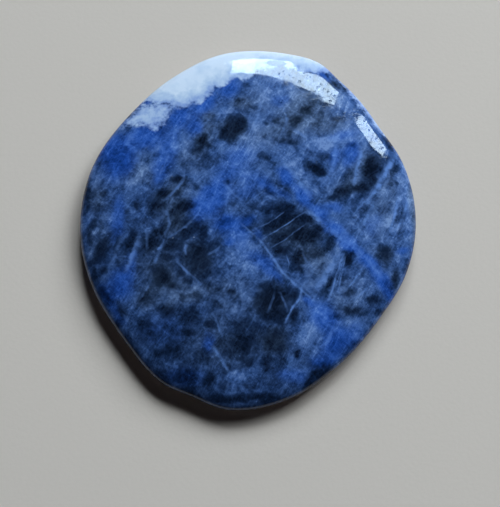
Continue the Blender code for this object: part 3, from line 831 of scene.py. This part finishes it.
class Fibres(NamedTuple):
    """Hairline streaks of one lean: their turn, length, width and depth, and how much they lighten."""

    turn: float
    size_mm: tuple[float, float, float]
    sharpness: float
    lift: float


class Web(NamedTuple):
    """A net of healed cracks: its turn, its cells, and the widths and lifts of the crack and its halo."""

    turn: float
    cell_mm: tuple[float, float, float]
    line: float
    line_lift: float
    halo: float
    halo_lift: float


class ToneBand(NamedTuple):
    """How a drawn tone turns into cover: the band it rises over, and how far the rock ruffles it."""

    low: float
    high: float
    mottle: float
    grain: float


@dataclass
class RockGrain:
    """The rock's own patterns in one node tree, as output sockets."""

    point: bpy.types.NodeSocket
    cloud: bpy.types.NodeSocket
    mottle: bpy.types.NodeSocket
    grain: bpy.types.NodeSocket
    streaks: tuple[bpy.types.NodeSocket, ...]
    lines: tuple[tuple[bpy.types.NodeSocket, float], ...]


@dataclass(frozen=True)
class PolishedSodalite:
    """Sodalite rock, ground and tumble polished: even, glassy gloss over blue clouds and hair seams.

    The smoky navy and the pale seams come from how clean or fractured the mineral is. The polish gives
    sharp reflections, broken only by hairline scratches and by pits where softer grains fell out.
    """

    name: str = "polished_sodalite_rock"
    ior: float = 1.48
    roughness: tuple[float, float] = (0.02, 0.045)
    # How wide and how far the patterns are pulled about, so that they look grown.
    warps_mm: tuple[tuple[float, float], ...] = ((5.0, 1.0), (1.5, 0.25))
    # The rock's patterns, from drifts of smoke down to single grains.
    cloud_mm: float = 3.4
    mottle_mm: float = 1.1
    grain_mm: float = 0.4
    streak_turns: tuple[float, ...] = (60.0, -42.0)
    streak_mm: tuple[float, float, float] = (3.6, 1.1, 2.6)
    fibres: tuple[Fibres, ...] = (
        Fibres(66.0, (12.0, 0.9, 4.0), 0.025, 0.13),
        Fibres(55.0, (8.0, 0.7, 3.0), 0.03, 0.09),
        Fibres(34.0, (7.0, 0.6, 3.0), 0.03, 0.09),
        Fibres(-42.0, (7.0, 0.7, 3.0), 0.03, 0.09),
    )
    webs: tuple[Web, ...] = (
        Web(60.0, (7.5, 3.6, 5.0), 0.025, 0.08, 0.25, 0.08),
        Web(-42.0, (8.5, 4.4, 5.0), 0.02, 0.08, 0.22, 0.06),
    )
    middle_light: float = 0.44
    swings: tuple[float, ...] = (0.8, 0.34, 0.4, 0.45, 0.3)
    fleck_gap_mm: float = 1.7
    fleck_lift: float = 0.3
    # Each ramp runs from the darkest to the lightest rock of its kind.
    slate: Stops = (
        (0.0, "#06101F"),
        (0.08, "#0A172C"),
        (0.21, "#142542"),
        (0.35, "#20355A"),
        (0.5, "#2C4572"),
        (0.64, "#395588"),
        (0.78, "#486499"),
        (0.92, "#5771A3"),
        (1.0, "#6D85B6"),
    )
    royal: Stops = (
        (0.0, "#020820"),
        (0.08, "#041336"),
        (0.21, "#0A2757"),
        (0.35, "#133676"),
        (0.5, "#1E458F"),
        (0.64, "#2C54A0"),
        (0.78, "#3C62AC"),
        (0.92, "#4D70B6"),
        (1.0, "#6484BF"),
    )
    veiled: Stops = (
        (0.0, "#060C18"),
        (0.08, "#101725"),
        (0.21, "#1E2838"),
        (0.35, "#2C384C"),
        (0.5, "#3A4861"),
        (0.64, "#485875"),
        (0.78, "#576888"),
        (0.92, "#677797"),
        (1.0, "#7B8CAC"),
    )
    white: Stops = (
        (0.0, "#8496C2"),
        (0.35, "#ACB8D0"),
        (0.7, "#C0C7D6"),
        (1.0, "#D2D4DE"),
    )
    seam_colour: str = "#6C8CC8"
    tone_bands: tuple[tuple[Tone, ToneBand], ...] = (
        (Tone.NAVY, ToneBand(0.0, 1.05, -0.6, -0.25)),
        (Tone.ROYAL, ToneBand(0.0, 1.2, 0.6, 0.1)),
        (Tone.PALE, ToneBand(0.05, 0.95, 0.65, 0.1)),
        (Tone.GREY, ToneBand(-0.4, 1.0, 0.7, 0.1)),
    )
    # How fine each pattern is, and how strongly it shows or ruffles what is drawn.
    warp_detail: float = 2.0
    even_details: tuple[float, float, float] = (4.0, 3.0, 3.0)
    streak_detail: float = 5.0
    streak_roughness: float = 0.6
    fibre_detail: float = 2.0
    fleck_band: tuple[float, float] = (0.04, 0.1)
    royal_calm: float = 0.45
    pale_lift: float = 0.32
    navy_depth: float = 0.9
    navy_veil: float = 0.5
    overlay: tuple[float, float] = (0.25, 0.12)
    seam_ruffle: tuple[float, float] = (2.0, 1.6)
    seam_softness: float = 2.0
    seam_gaps: tuple[float, float, float] = (0.38, 0.6, 0.3)
    seam_cover: float = 0.82
    rim_ruffle: tuple[float, float] = (1.4, 0.8)
    rim_band: tuple[float, float] = (-0.3, 0.35)
    rim_full_depth: float = 2.4
    rim_mottle: tuple[float, float] = (0.9, 0.6)
    dull_band: tuple[float, float] = (0.35, 0.65)
    # Pits and scratches, which only show where something bright is mirrored.
    pit_ruffle: float = 1.4
    pit_bowl: tuple[float, float] = (0.4, 1.1)
    pit_gap_mm: float = 2.6
    strewn_pit_bowl: tuple[float, float] = (0.03, 0.06)
    pit_depth_mm: float = 0.02
    scratch_turns: tuple[float, ...] = (12.0, 74.0, 131.0)
    scratch_mm: tuple[float, float, float] = (9.0, 0.12, 9.0)
    scratch_detail: float = 1.0
    scratch_band: tuple[float, float] = (0.3, 0.36)
    scratch_depth_mm: float = 0.0006

    def place(self, tree: bpy.types.NodeTree) -> tuple[bpy.types.NodeSocket, bpy.types.NodeSocket]:
        """Gives the point in millimetres, and the same point pulled about so that patterns look grown.

        Args:
            tree: The node tree.

        Returns:
            The point, and the pulled point.
        """
        metres = add_node(tree, "ShaderNodeTexCoord", output="Object")
        scaled = {0: metres, "Scale": 1 / MM}
        point = add_node(tree, "ShaderNodeVectorMath", {"operation": "SCALE"}, scaled)
        pulled = point
        for wave, reach in self.warps_mm:
            noise_inputs = {"Vector": pulled, "Scale": 1 / wave, "Detail": self.warp_detail}
            pull = add_node(tree, "ShaderNodeTexNoise", inputs=noise_inputs, output="Color")
            centred = {0: pull, 1: (NOISE_MIDDLE,) * 3}
            pull = add_node(tree, "ShaderNodeVectorMath", {"operation": "SUBTRACT"}, centred)
            reaches = {0: pull, 1: (2 * reach,) * 3, 2: pulled}
            pulled = add_node(tree, "ShaderNodeVectorMath", {"operation": "MULTIPLY_ADD"}, reaches)
        return point, pulled

    def weigh(
        self,
        tree: bpy.types.NodeTree,
        start: float | bpy.types.NodeSocket,
        parts: tuple[tuple[bpy.types.NodeSocket, float], ...],
        middle: float = NOISE_MIDDLE,
    ) -> bpy.types.NodeSocket:
        """Adds parts to a starting value, each by its own weight.

        Args:
            tree: The node tree.
            start: The value before any part is added.
            parts: Each part with its weight.
            middle: The value at which a part adds nothing.

        Returns:
            The weighted sum.
        """
        total = start
        for part, weight in parts:
            swing = add_node(tree, "ShaderNodeMath", {"operation": "SUBTRACT"}, {0: part, 1: middle})
            step = {0: swing, 1: weight, 2: total}
            total = add_node(tree, "ShaderNodeMath", {"operation": "MULTIPLY_ADD"}, step)
        return total

    def grow(self, tree: bpy.types.NodeTree) -> RockGrain:
        """Grows the rock's patterns: clouds, mottling and grain, streaks of both leans, and pale lines.

        Args:
            tree: The node tree.

        Returns:
            The patterns.
        """
        point, pulled = self.place(tree)
        evens = []
        sizes = ((pulled, self.cloud_mm), (pulled, self.mottle_mm), (point, self.grain_mm))
        for (vector, size), detail in zip(sizes, self.even_details):
            noise_inputs = {"Vector": vector, "Scale": 1 / size, "Detail": detail}
            evens.append(add_node(tree, "ShaderNodeTexNoise", inputs=noise_inputs))
        streaks = []
        for turn in self.streak_turns:
            frame = self.stretch(tree, pulled, turn, self.streak_mm)
            noise_inputs = {"Vector": frame, "Scale": 1.0, "Detail": self.streak_detail}
            noise_inputs["Roughness"] = self.streak_roughness
            streaks.append(add_node(tree, "ShaderNodeTexNoise", inputs=noise_inputs))
        lines = self.fibre_lines(tree, point) + self.web_lines(tree, pulled) + self.flecks(tree, point)
        return RockGrain(point, *evens, tuple(streaks), tuple(lines))

    def stretch(
        self,
        tree: bpy.types.NodeTree,
        vector: bpy.types.NodeSocket,
        turn: float,
        size_mm: tuple[float, float, float],
    ) -> bpy.types.NodeSocket:
        """Turns the point to a lean and measures it in long, thin cells.

        Args:
            tree: The node tree.
            vector: The point in millimetres.
            turn: The lean in degrees.
            size_mm: The cells' length, width and depth.

        Returns:
            The point in cells.
        """
        cell = {"Vector": vector, "Rotation": (0.0, 0.0, math.radians(turn)), "Scale": size_mm}
        return add_node(tree, "ShaderNodeMapping", {"vector_type": "TEXTURE"}, cell)

    def fibre_lines(
        self, tree: bpy.types.NodeTree, point: bpy.types.NodeSocket
    ) -> list[tuple[bpy.types.NodeSocket, float]]:
        """Makes hairline streaks, which are the crest lines of long thin noise.

        Args:
            tree: The node tree.
            point: The point in millimetres.

        Returns:
            Each lean's streaks, with the lightness that they add.
        """
        found = []
        for fibres in self.fibres:
            frame = self.stretch(tree, point, fibres.turn, fibres.size_mm)
            noise_inputs = {"Vector": frame, "Scale": 1.0, "Detail": self.fibre_detail}
            crest = add_node(tree, "ShaderNodeTexNoise", inputs=noise_inputs)
            crest = add_node(tree, "ShaderNodeMath", {"operation": "SUBTRACT"}, {0: crest, 1: NOISE_MIDDLE})
            crest = add_node(tree, "ShaderNodeMath", {"operation": "ABSOLUTE"}, {0: crest})
            band = {"Value": crest, "From Min": 0.0, "From Max": fibres.sharpness}
            band |= {"To Min": 1.0, "To Max": 0.0}
            line = add_node(tree, "ShaderNodeMapRange", {"interpolation_type": "SMOOTHSTEP"}, band)
            found.append((line, fibres.lift))
        return found

    def web_lines(
        self, tree: bpy.types.NodeTree, pulled: bpy.types.NodeSocket
    ) -> list[tuple[bpy.types.NodeSocket, float]]:
        """Makes nets of healed cracks, each a thin line with a wider pale halo.

        Args:
            tree: The node tree.
            pulled: The pulled point in millimetres.

        Returns:
            Each line and halo, with the lightness that it adds.
        """
        found = []
        for web in self.webs:
            frame = self.stretch(tree, pulled, web.turn, web.cell_mm)
            cells = {"Vector": frame, "Scale": 1.0}
            edge = add_node(tree, "ShaderNodeTexVoronoi", {"feature": "DISTANCE_TO_EDGE"}, cells)
            for width, lift in ((web.line, web.line_lift), (web.halo, web.halo_lift)):
                band = {"Value": edge, "From Min": 0.0, "From Max": width, "To Min": 1.0, "To Max": 0.0}
                line = add_node(tree, "ShaderNodeMapRange", {"interpolation_type": "SMOOTHSTEP"}, band)
                found.append((line, lift))
        return found

    def flecks(
        self, tree: bpy.types.NodeTree, point: bpy.types.NodeSocket
    ) -> list[tuple[bpy.types.NodeSocket, float]]:
        """Strews tiny pale grains through the rock.

        Args:
            tree: The node tree.
            point: The point in millimetres.

        Returns:
            The grains, with the lightness that they add.
        """
        strewn = {"Vector": point, "Scale": 1 / self.fleck_gap_mm}
        fleck = add_node(tree, "ShaderNodeTexVoronoi", {"feature": "F1"}, strewn)
        near, far = self.fleck_band
        band = {"Value": fleck, "From Min": near, "From Max": far, "To Min": 1.0, "To Max": 0.0}
        fleck = add_node(tree, "ShaderNodeMapRange", {"interpolation_type": "SMOOTHSTEP"}, band)
        return [(fleck, self.fleck_lift)]

    def drawn_tones(self, tree: bpy.types.NodeTree, rock: RockGrain) -> dict[Tone, bpy.types.NodeSocket]:
        """Breaks up the edges of the drawn tones with the rock's own mottling and grain.

        Args:
            tree: The node tree.
            rock: The rock's patterns.

        Returns:
            Each tone's cover from 0 to 1.
        """
        tones = {}
        for tone, band in self.tone_bands:
            value = add_node(tree, "ShaderNodeAttribute", {"attribute_name": tone.value}, output="Fac")
            ruffles = (band.mottle, band.grain, band.mottle / 2)
            parts = tuple(zip((rock.mottle, rock.grain, rock.streaks[0]), ruffles))
            ruffled = self.weigh(tree, value, parts)
            limits = {"Value": ruffled, "From Min": band.low, "From Max": band.high}
            cover = add_node(tree, "ShaderNodeMapRange", {"interpolation_type": "SMOOTHSTEP"}, limits)
            tones[tone] = cover
        return tones

    def body_colour(self, tree: bpy.types.NodeTree, rock: RockGrain) -> bpy.types.NodeSocket:
        """The blue of the rock, before seams and white, with the painted shade and painted reflections that
        some of its clouds carry.

        Args:
            tree: The node tree.
            rock: The rock's patterns.

        Returns:
            The colour.
        """
        tones = self.drawn_tones(tree, rock)
        patterns = (rock.cloud, rock.mottle, rock.grain, *rock.streaks)
        swing = self.weigh(tree, 0.0, tuple(zip(patterns, self.swings)))
        calm = self.weigh(tree, 1.0, ((tones[Tone.ROYAL], -self.royal_calm),), middle=0.0)
        even = {0: swing, 1: calm, 2: self.middle_light}
        light = add_node(tree, "ShaderNodeMath", {"operation": "MULTIPLY_ADD"}, even)
        light = self.weigh(tree, light, ((tones[Tone.PALE], self.pale_lift),), middle=0.0)
        clear = self.weigh(tree, 1.0, ((tones[Tone.NAVY], -self.navy_depth),), middle=0.0)
        light = add_node(tree, "ShaderNodeMath", {"operation": "MULTIPLY"}, {0: light, 1: clear})
        light = self.weigh(tree, light, tuple(zip((rock.cloud, rock.grain), self.overlay)))
        lines = self.weigh(tree, 0.0, rock.lines, middle=0.0)
        bare = self.weigh(tree, 1.0, ((tones[Tone.NAVY], -self.navy_veil),), middle=0.0)
        lined = {0: lines, 1: bare, 2: light}
        light = add_node(tree, "ShaderNodeMath", {"operation": "MULTIPLY_ADD"}, lined)
        ramps = []
        for stops in (self.slate, self.veiled, self.royal):
            colour = add_node(tree, "ShaderNodeValToRGB", inputs={"Fac": light}, output="Color")
            self.fill_ramp(colour.node, stops)
            ramps.append(colour)
        veil = {"Factor": tones[Tone.GREY], MIX_FIRST: ramps[0], MIX_SECOND: ramps[1]}
        colour = add_node(tree, "ShaderNodeMix", {"data_type": "RGBA"}, veil, MIX_RESULT)
        blue = {"Factor": tones[Tone.ROYAL], MIX_FIRST: colour, MIX_SECOND: ramps[2]}
        return add_node(tree, "ShaderNodeMix", {"data_type": "RGBA"}, blue, MIX_RESULT)

    def fill_ramp(self, node: bpy.types.Node, stops: Stops) -> None:
        """Gives a colour ramp its stops.

        Args:
            node: The colour ramp's node.
            stops: Each stop's place and sRGB hex colour.
        """
        elements = node.color_ramp.elements
        while len(elements) < len(stops):
            elements.new(1.0)
        for element, (place, tint) in zip(elements, stops):
            element.position = place
            element.color = linear(tint)

    def draw_seams(
        self, tree: bpy.types.NodeTree, rock: RockGrain, colour: bpy.types.NodeSocket
    ) -> bpy.types.NodeSocket:
        """Lays the pale seams over the rock. Signed distances keep them crisp between the mesh's points.

        Args:
            tree: The node tree.
            rock: The rock's patterns.
            colour: The colour so far.

        Returns:
            The colour with its seams.
        """
        for name in ("left_seam", "right_seam"):
            side = add_node(tree, "ShaderNodeAttribute", {"attribute_name": f"{name}_side"}, output="Fac")
            named = {"attribute_name": f"{name}_strength"}
            strength = add_node(tree, "ShaderNodeAttribute", named, output="Fac")
            side = self.weigh(tree, side, tuple(zip((rock.mottle, rock.grain), self.seam_ruffle)))
            side = add_node(tree, "ShaderNodeMath", {"operation": "ABSOLUTE"}, {0: side})
            band = {"Value": side, "From Min": 0.0, "From Max": self.seam_softness}
            band |= {"To Min": 1.0, "To Max": 0.0}
            line = add_node(tree, "ShaderNodeMapRange", {"interpolation_type": "SMOOTHSTEP"}, band)
            low, high, least = self.seam_gaps
            gaps = {"Value": rock.mottle, "From Min": low, "From Max": high, "To Min": least}
            broken = add_node(tree, "ShaderNodeMapRange", inputs=gaps)
            for share in (strength, broken, self.seam_cover):
                line = add_node(tree, "ShaderNodeMath", {"operation": "MULTIPLY"}, {0: line, 1: share})
            mix = {"Factor": line, MIX_FIRST: colour, MIX_SECOND: linear(self.seam_colour)}
            colour = add_node(tree, "ShaderNodeMix", {"data_type": "RGBA"}, mix, MIX_RESULT)
        return colour

    def lay_white(
        self, tree: bpy.types.NodeTree, rock: RockGrain, colour: bpy.types.NodeSocket
    ) -> bpy.types.NodeSocket:
        """Lays the white rim over the rock, bluish where it is thin.

        Args:
            tree: The node tree.
            rock: The rock's patterns.
            colour: The colour so far.

        Returns:
            The colour with its white rim.
        """
        depth = add_node(tree, "ShaderNodeAttribute", {"attribute_name": "white_depth"}, output="Fac")
        depth = self.weigh(tree, depth, tuple(zip((rock.mottle, rock.grain), self.rim_ruffle)))
        outer, inner = self.rim_band
        rim = {"Value": depth, "From Min": outer, "From Max": inner}
        cover = add_node(tree, "ShaderNodeMapRange", {"interpolation_type": "SMOOTHSTEP"}, rim)
        thick = {"Value": depth, "From Min": 0.0, "From Max": self.rim_full_depth}
        body = add_node(tree, "ShaderNodeMapRange", inputs=thick)
        body = self.weigh(tree, body, tuple(zip((rock.cloud, rock.mottle), self.rim_mottle)))
        white = add_node(tree, "ShaderNodeValToRGB", inputs={"Fac": body}, output="Color")
        self.fill_ramp(white.node, self.white)
        mix = {"Factor": cover, MIX_FIRST: colour, MIX_SECOND: white}
        return add_node(tree, "ShaderNodeMix", {"data_type": "RGBA"}, mix, MIX_RESULT)

    def polish(self, tree: bpy.types.NodeTree, rock: RockGrain) -> dict[str, bpy.types.NodeSocket]:
        """The gloss: nearly even, with hairline scratches and small pits.

        Args:
            tree: The node tree.
            rock: The rock's patterns.

        Returns:
            The shader's roughness and normal.
        """
        limits = dict(zip(("From Min", "From Max", "To Min", "To Max"), self.dull_band + self.roughness))
        rough = add_node(tree, "ShaderNodeMapRange", inputs={"Value": rock.mottle, **limits})
        offset = add_node(tree, "ShaderNodeAttribute", {"attribute_name": "pit_offset"}, output="Vector")
        away = add_node(tree, "ShaderNodeVectorMath", {"operation": "LENGTH"}, {0: offset}, "Value")
        away = self.weigh(tree, away, ((rock.grain, self.pit_ruffle),))
        gaps = {"Vector": rock.point, "Scale": 1 / self.pit_gap_mm}
        strewn = add_node(tree, "ShaderNodeTexVoronoi", {"feature": "F1"}, gaps)
        bowls = []
        for distance, (bottom, brink) in ((away, self.pit_bowl), (strewn, self.strewn_pit_bowl)):
            bowl = {"Value": distance, "From Min": bottom, "From Max": brink}
            bowls.append(add_node(tree, "ShaderNodeMapRange", {"interpolation_type": "SMOOTHSTEP"}, bowl))
        pits = add_node(tree, "ShaderNodeMath", {"operation": "MULTIPLY"}, dict(enumerate(bowls)))
        depth = {"Strength": 1.0, "Distance": self.pit_depth_mm * MM, "Height": pits}
        normal = add_node(tree, "ShaderNodeBump", inputs=depth)
        for turn in self.scratch_turns:
            frame = self.stretch(tree, rock.point, turn, self.scratch_mm)
            noise_inputs = {"Vector": frame, "Scale": 1.0, "Detail": self.scratch_detail}
            scratch = add_node(tree, "ShaderNodeTexNoise", inputs=noise_inputs)
            bottom, brink = self.scratch_band
            groove = {"Value": scratch, "From Min": bottom, "From Max": brink}
            scratch = add_node(tree, "ShaderNodeMapRange", inputs=groove)
            depth = {"Strength": 1.0, "Distance": self.scratch_depth_mm * MM, "Height": scratch}
            normal = add_node(tree, "ShaderNodeBump", inputs={**depth, "Normal": normal})
        return {"Roughness": rough, "Normal": normal}

    def build(self) -> bpy.types.Material:
        """Builds the node material.

        Returns:
            The material.
        """
        material = bpy.data.materials.new(self.name)
        material.use_nodes = True
        tree = material.node_tree
        shader = tree.nodes["Principled BSDF"]
        rock = self.grow(tree)
        colour = self.body_colour(tree, rock)
        colour = self.draw_seams(tree, rock, colour)
        colour = self.lay_white(tree, rock, colour)
        tree.links.new(colour, shader.inputs["Base Color"])
        for name, socket in self.polish(tree, rock).items():
            tree.links.new(socket, shader.inputs[name])
        shader.inputs["IOR"].default_value = self.ior
        return material


@dataclass
class StoneView:
    """The camera: a long lens that looks down on the stone, tilted towards its lower side."""

    aim_mm: tuple[float, float, float] = (0.3, -3.7, 0.0)
    distance_mm: float = 303.0
    tilt_from_above: float = 18.0
    lens_mm: float = 140.0
    sensor_mm: float = 36.0
    nearest_m: float = 0.01
    farthest_m: float = 20.0

    def build(self) -> bpy.types.Object:
        """Adds the camera and makes it the scene's own.

        Returns:
            The camera object.
        """
        data = bpy.data.cameras.new("stone_view")
        data.lens = self.lens_mm
        data.sensor_width = self.sensor_mm
        data.sensor_fit = "AUTO"
        data.clip_start = self.nearest_m
        data.clip_end = self.farthest_m
        camera = bpy.data.objects.new("stone_view", data)
        bpy.context.scene.collection.objects.link(camera)
        tilt = math.radians(self.tilt_from_above)
        back = Vector((0, -math.sin(tilt), math.cos(tilt)))
        camera.location = (Vector(self.aim_mm) + back * self.distance_mm) * MM
        camera.rotation_euler = (-back).to_track_quat("-Z", "Y").to_euler()
        bpy.context.scene.camera = camera
        LOG.info("%s: %.0f mm lens", camera.name, self.lens_mm)
        return camera


@dataclass
class WindowPane:
    """One pane of the window that the stone mirrors.

    Its corners are the bearings and rises, in degrees, at which the stone sees them.
    """

    name: str
    corners: Points
    brightness: float = 18.3
    distance_mm: float = 900.0
    colour: str = "#D3EDFF"

    def corner_places(self) -> list[Vector]:
        """Places the corners on one upright plane that faces the stone.

        Returns:
            A point in metres for each corner.
        """
        middle = math.radians(sum(bearing for bearing, _ in self.corners) / len(self.corners))
        facing = Vector((math.cos(middle), math.sin(middle), 0))
        places = []
        for bearing, rise in self.corners:
            turn, lift = math.radians(bearing), math.radians(rise)
            ray = Vector((math.cos(turn), math.sin(turn), math.tan(lift)))
            places.append(ray * (self.distance_mm * MM / ray.dot(facing)))
        return places

    def daylight(self) -> bpy.types.Material:
        """Even daylight through clear glass, which has no grain of its own to show.

        Returns:
            The material.
        """
        material = bpy.data.materials.new("window_daylight")
        material.use_nodes = True
        tree = material.node_tree
        tree.nodes.remove(tree.nodes["Principled BSDF"])
        glow = {"Color": linear(self.colour), "Strength": self.brightness}
        surface = tree.nodes["Material Output"].inputs["Surface"]
        tree.links.new(add_node(tree, "ShaderNodeEmission", inputs=glow), surface)
        return material

    def build(self) -> bpy.types.Object:
        """Adds the pane as one glowing sheet that the camera itself doesn't see.

        Returns:
            The pane object.
        """
        sheet = bmesh.new()
        sheet.faces.new([sheet.verts.new(place) for place in self.corner_places()])
        mesh = bpy.data.meshes.new(self.name)
        sheet.to_mesh(mesh)
        sheet.free()
        mesh.materials.append(self.daylight())
        pane = bpy.data.objects.new(self.name, mesh)
        bpy.context.scene.collection.objects.link(pane)
        pane.visible_camera = False
        LOG.info("%s: %d corners", pane.name, len(self.corners))
        return pane


@dataclass
class WindowGlow:
    """The soft light from around the window. It lights the stone but isn't mirrored in it."""

    bearing: float = 45.0
    rise: float = 40.0
    distance_mm: float = 800.0
    size_mm: tuple[float, float] = (400.0, 500.0)
    power: float = 6.6
    colour: str = "#D3EDFF"

    def build(self) -> bpy.types.Object:
        """Adds the glow as an area light that faces the stone.

        Returns:
            The light object.
        """
        data = bpy.data.lights.new("window_glow", "AREA")
        data.shape = "RECTANGLE"
        data.size, data.size_y = (side * MM for side in self.size_mm)
        data.energy = self.power
        data.color = linear(self.colour)[:3]
        glow = bpy.data.objects.new("window_glow", data)
        bpy.context.scene.collection.objects.link(glow)
        turn, lift = math.radians(self.bearing), math.radians(self.rise)
        away = Vector((math.cos(turn) * math.cos(lift), math.sin(turn) * math.cos(lift), math.sin(lift)))
        glow.location = away * self.distance_mm * MM
        glow.rotation_euler = away.to_track_quat("Z", "Y").to_euler()
        glow.visible_camera = False
        glow.visible_glossy = False
        LOG.info("%s: %.1f W", glow.name, self.power)
        return glow


@dataclass
class Studio:
    """The plain pale floor, the soft sky and the window's panes."""

    floor_width_mm: float = 3000.0
    floor_colours: tuple[str, str] = ("#CFB8A8", "#D3BCAC")
    card_grain_mm: float = 0.6
    card_bump_mm: float = 0.02
    card_detail: float = 3.0
    card_roughness: float = 0.9
    floor_squares: int = 8
    sky_colour: str = "#E9EEF6"
    sky_strength: float = 0.015
    panes: tuple[WindowPane, ...] = field(
        default_factory=lambda: (
            WindowPane(
                "left_pane",
                ((95.6, 31.5), (94.8, 48.8), (87.4, 51.5), (81.4, 55.6), (80.0, 44.5), (82.0, 29.6)),
            ),
            WindowPane(
                "right_pane",
                ((80.0, 44.8), (81.4, 56.2), (75.0, 56.8), (70.2, 56.0), (66.8, 53.2), (61.3, 36.4)),
            ),
            WindowPane("side_pane", ((52.1, 30.0), (59.3, 50.6), (53.5, 46.7), (49.7, 30.4))),
        )
    )
    glow: WindowGlow = field(default_factory=WindowGlow)

    def build_floor(self) -> bpy.types.Object:
        """Adds the floor as one wide sheet.

        Returns:
            The floor object.
        """
        sheet = bmesh.new()
        squares = {"x_segments": self.floor_squares, "y_segments": self.floor_squares}
        bmesh.ops.create_grid(sheet, size=self.floor_width_mm / 2 * MM, **squares)
        mesh = bpy.data.meshes.new("pale_floor")
        sheet.to_mesh(mesh)
        sheet.free()
        floor = bpy.data.objects.new("pale_floor", mesh)
        bpy.context.scene.collection.objects.link(floor)
        mesh.materials.append(self.floor_material())
        LOG.info("%s: %.1f m wide", floor.name, self.floor_width_mm * MM)
        return floor

    def floor_material(self) -> bpy.types.Material:
        """Smooth uncoated card, pressed from pulp: pale and matt, with a grain that only just shows.

        Returns:
            The material.
        """
        material = bpy.data.materials.new("uncoated_card")
        material.use_nodes = True
        tree = material.node_tree
        shader = tree.nodes["Principled BSDF"]
        point = add_node(tree, "ShaderNodeTexCoord", output="Object")
        scale = 1 / (self.card_grain_mm * MM)
        pulp_inputs = {"Vector": point, "Scale": scale, "Detail": self.card_detail}
        pulp = add_node(tree, "ShaderNodeTexNoise", inputs=pulp_inputs)
        thin, thick = (linear(colour) for colour in self.floor_colours)
        mix = {"Factor": pulp, MIX_FIRST: thin, MIX_SECOND: thick}
        colour = add_node(tree, "ShaderNodeMix", {"data_type": "RGBA"}, mix, MIX_RESULT)
        tree.links.new(colour, shader.inputs["Base Color"])
        relief = {"Strength": 1.0, "Distance": self.card_bump_mm * MM, "Height": pulp}
        tree.links.new(add_node(tree, "ShaderNodeBump", inputs=relief), shader.inputs["Normal"])
        shader.inputs["Roughness"].default_value = self.card_roughness
        return material

    def build_sky(self) -> None:
        """Sets the even soft light that fills the shadows."""
        world = bpy.data.worlds.new("soft_sky")
        world.use_nodes = True
        background = world.node_tree.nodes["Background"]
        background.inputs["Color"].default_value = linear(self.sky_colour)
        background.inputs["Strength"].default_value = self.sky_strength
        bpy.context.scene.world = world

    def build(self) -> None:
        """Builds the floor, the sky and the panes."""
        self.build_floor()
        self.build_sky()
        for pane in self.panes:
            pane.build()
        self.glow.build()
        bpy.context.scene.view_settings.view_transform = "Standard"


@dataclass
class PalmStone:
    """The stone itself: its fine surface, its markings and its polish."""

    form: PalmForm = field(default_factory=PalmForm)
    markings: Markings = field(default_factory=Markings)
    finish: PolishedSodalite = field(default_factory=PolishedSodalite)
    cuts: int = 127
    polish_waves_mm: tuple[tuple[float, float], ...] = ((8.0, 0.018), (3.0, 0.004))
    foot_fade_mm: tuple[float, float] = (0.1, 1.2)
    node: str = "palm_stone"
    slot: str = "polished_sodalite"

    def ball(self) -> bpy.types.Mesh:
        """Makes a cube that is cut into squares, which becomes the ball.

        Returns:
            The mesh.
        """
        ball = bmesh.new()
        bmesh.ops.create_cube(ball, size=2)
        bmesh.ops.subdivide_edges(ball, edges=ball.edges[:], cuts=self.cuts, use_grid_fill=True)
        mesh = bpy.data.meshes.new("polished_stone")
        ball.to_mesh(mesh)
        ball.free()
        return mesh

    def set_points(self, mesh: bpy.types.Mesh, points: np.ndarray) -> None:
        """Moves the mesh's points to places in millimetres."""
        mesh.vertices.foreach_set("co", (points * MM).ravel())
        mesh.update()

    def shape(self, mesh: bpy.types.Mesh) -> np.ndarray:
        """Moves the ball's points onto the stone and sets it on its foot.

        Args:
            mesh: The ball's mesh, which is changed.

        Returns:
            The points in millimetres.
        """
        points = np.empty(len(mesh.vertices) * 3)
        mesh.vertices.foreach_get("co", points)
        # The tangent spreads the cube's squares so that they stay nearly even on the ball.
        ball = np.tan(points.reshape(-1, 3) * math.pi / 4)
        ball /= np.linalg.norm(ball, axis=1)[:, None]
        placed = self.form.place(ball)
        low, high = placed.min(axis=0), placed.max(axis=0)
        placed -= [(low[0] + high[0]) / 2, (low[1] + high[1]) / 2, low[2]]
        self.set_points(mesh, placed)
        return placed

    def wear(self, mesh: bpy.types.Mesh, points: np.ndarray) -> None:
        """Gives the surface the faint waviness that hand polishing leaves, which bends reflections.

        Args:
            mesh: The stone's mesh, which is changed.
            points: Its points in millimetres.
        """
        normals = np.empty(len(points) * 3)
        mesh.vertex_normals.foreach_get("vector", normals)
        height = np.zeros(len(points))
        for wave, reach in self.polish_waves_mm:
            height += reach * np.array([noise.noise(Vector(point / wave)) for point in points])
        height *= smooth_step(*self.foot_fade_mm, points[:, 2])
        self.set_points(mesh, points + normals.reshape(-1, 3) * height[:, None])

    def build(self) -> bpy.types.Object:
        """Builds the stone and hangs it on the frame.

        Returns:
            The stone object.
        """
        mesh = self.ball()
        points = self.shape(mesh)
        self.markings.write(mesh, points)
        self.wear(mesh, points)
        mesh.shade_smooth()
        stone = bpy.data.objects.new("polished_stone", mesh)
        bpy.context.scene.collection.objects.link(stone)
        mesh.materials.append(self.finish.build())
        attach(stone, "root")
        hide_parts(self.node)
        LOG.info("%s: %d faces", stone.name, len(mesh.polygons))
        return stone


def main() -> None:
    """Builds the studio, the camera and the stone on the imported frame."""
    logging.basicConfig(level=logging.INFO, format="%(name)s: %(message)s")
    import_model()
    Studio().build()
    StoneView().build()
    PalmStone().build()


if __name__ == "__main__":
    main()
